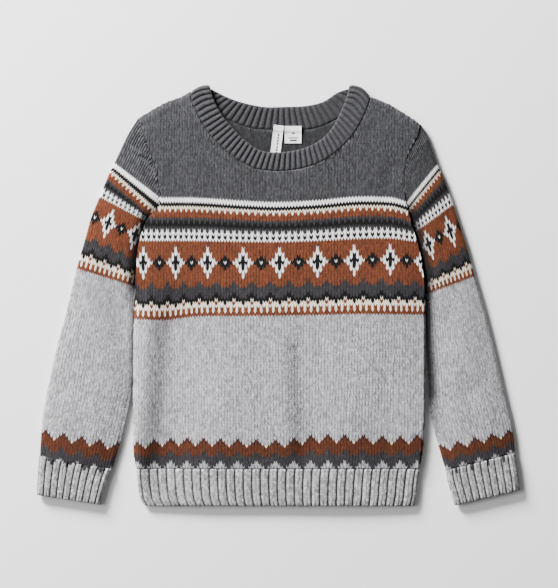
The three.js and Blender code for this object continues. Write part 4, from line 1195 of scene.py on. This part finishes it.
# what each piece stands for, its finish, and the cut it came from: width, length and area in metres
fittings = [
    (frontPanel, "front_panel", knitWool, "fair_isle_knit", (0.328, 0.418), 0.112, ["back_panel"]),
    (backPanel, "back_panel", knitWool, "fair_isle_knit", (0.328, 0.418), 0.121, ["floor"]),
    (leftSleeve, "left_sleeve", knitWool, "fair_isle_knit", (0.17, 0.41), 0.056, ["floor"]),
    (rightSleeve, "right_sleeve", knitWool, "fair_isle_knit", (0.17, 0.41), 0.056, ["floor"]),
    (neckbandPiece, "neckband", charcoalWool, "charcoal_rib", (0.47, 0.022), None, ["back_panel"]),
    (hemFront, "hem_rib_front", ribWool, "light_grey_rib", (0.32, 0.042), None, ["hem_rib_back"]),
    (hemBack, "hem_rib_back", ribWool, "light_grey_rib", (0.32, 0.042), None, ["floor"]),
    (leftCuff, "left_cuff", ribWool, "light_grey_rib", (0.164, 0.042), None, ["floor"]),
    (rightCuff, "right_cuff", ribWool, "light_grey_rib", (0.164, 0.042), None, ["floor"]),
    (labelStrip, "label_strip", satin, "label_cloth", (0.011, 0.036), None, ["back_panel"]),
    (labelSquare, "label_square", satin, "label_cloth", (0.0185, 0.019), None, ["back_panel"]),
]


# the floor: a plain pale sheet that the jumper lies on
def makeFloor():
    size = 6.0
    mesh = bpy.data.meshes.new("floor")
    corners = [(-size, -size, 0), (size, -size, 0), (size, size, 0), (-size, size, 0)]
    mesh.from_pydata(corners, [], [(0, 1, 2, 3)])
    material = bpy.data.materials.new("paleFloor")
    material.use_nodes = True
    shader = material.node_tree.nodes["Principled BSDF"]
    shader.inputs["Base Color"].default_value = (0.93, 0.93, 0.93, 1)
    shader.inputs["Roughness"].default_value = 0.9
    mesh.materials.append(material)
    floor = bpy.data.objects.new("floor", mesh)
    bpy.context.scene.collection.objects.link(floor)
    return floor


floor = makeFloor()
for piece, node, material, slotName, flat, area, restsOn in fittings:
    piece.data.materials.append(material)
    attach(piece, "root")
    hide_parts(node)

camera = {"height": 2.6, "centre": (0.0006, 0.003), "frameWidth": 0.6138, "sensor": 36.0}


# straight down, with a long lens, framed to the photo's width
def makeCamera():
    data = bpy.data.cameras.new("camera")
    data.sensor_fit = "HORIZONTAL"
    data.sensor_width = camera["sensor"]
    eyeToCloth = camera["height"] - cloth["layHeight"] * metresPerMm
    data.lens = camera["sensor"] * eyeToCloth / camera["frameWidth"]
    data.clip_end = 20
    eye = bpy.data.objects.new("camera", data)
    eye.location = (*camera["centre"], camera["height"])
    bpy.context.scene.collection.objects.link(eye)
    bpy.context.scene.camera = eye


# studio light: a strong low panel from the upper left, a weak one from the left, and a pale surround
lights = [
    {"name": "mainPanel", "place": (-1.75, 2.1, 1.15), "size": 0.95, "power": 465},
    {"name": "sidePanel", "place": (-2.0, 0.2, 1.9), "size": 1.3, "power": 45},
]
surroundStrength = 0.19


def makeLights():
    for row in lights:
        data = bpy.data.lights.new(row["name"], "AREA")
        data.size = row["size"]
        data.energy = row["power"]
        lamp = bpy.data.objects.new(row["name"], data)
        lamp.location = row["place"]
        x, y, z = row["place"]
        pitch = np.arctan2(np.hypot(x, y), z)
        lamp.rotation_euler = (pitch, 0, np.arctan2(x, -y))
        bpy.context.scene.collection.objects.link(lamp)
    world = bpy.data.worlds.new("surround")
    world.use_nodes = True
    world.node_tree.nodes["Background"].inputs["Color"].default_value = (1, 1, 1, 1)
    world.node_tree.nodes["Background"].inputs["Strength"].default_value = surroundStrength
    bpy.context.scene.world = world


makeCamera()
makeLights()
print("stage done")
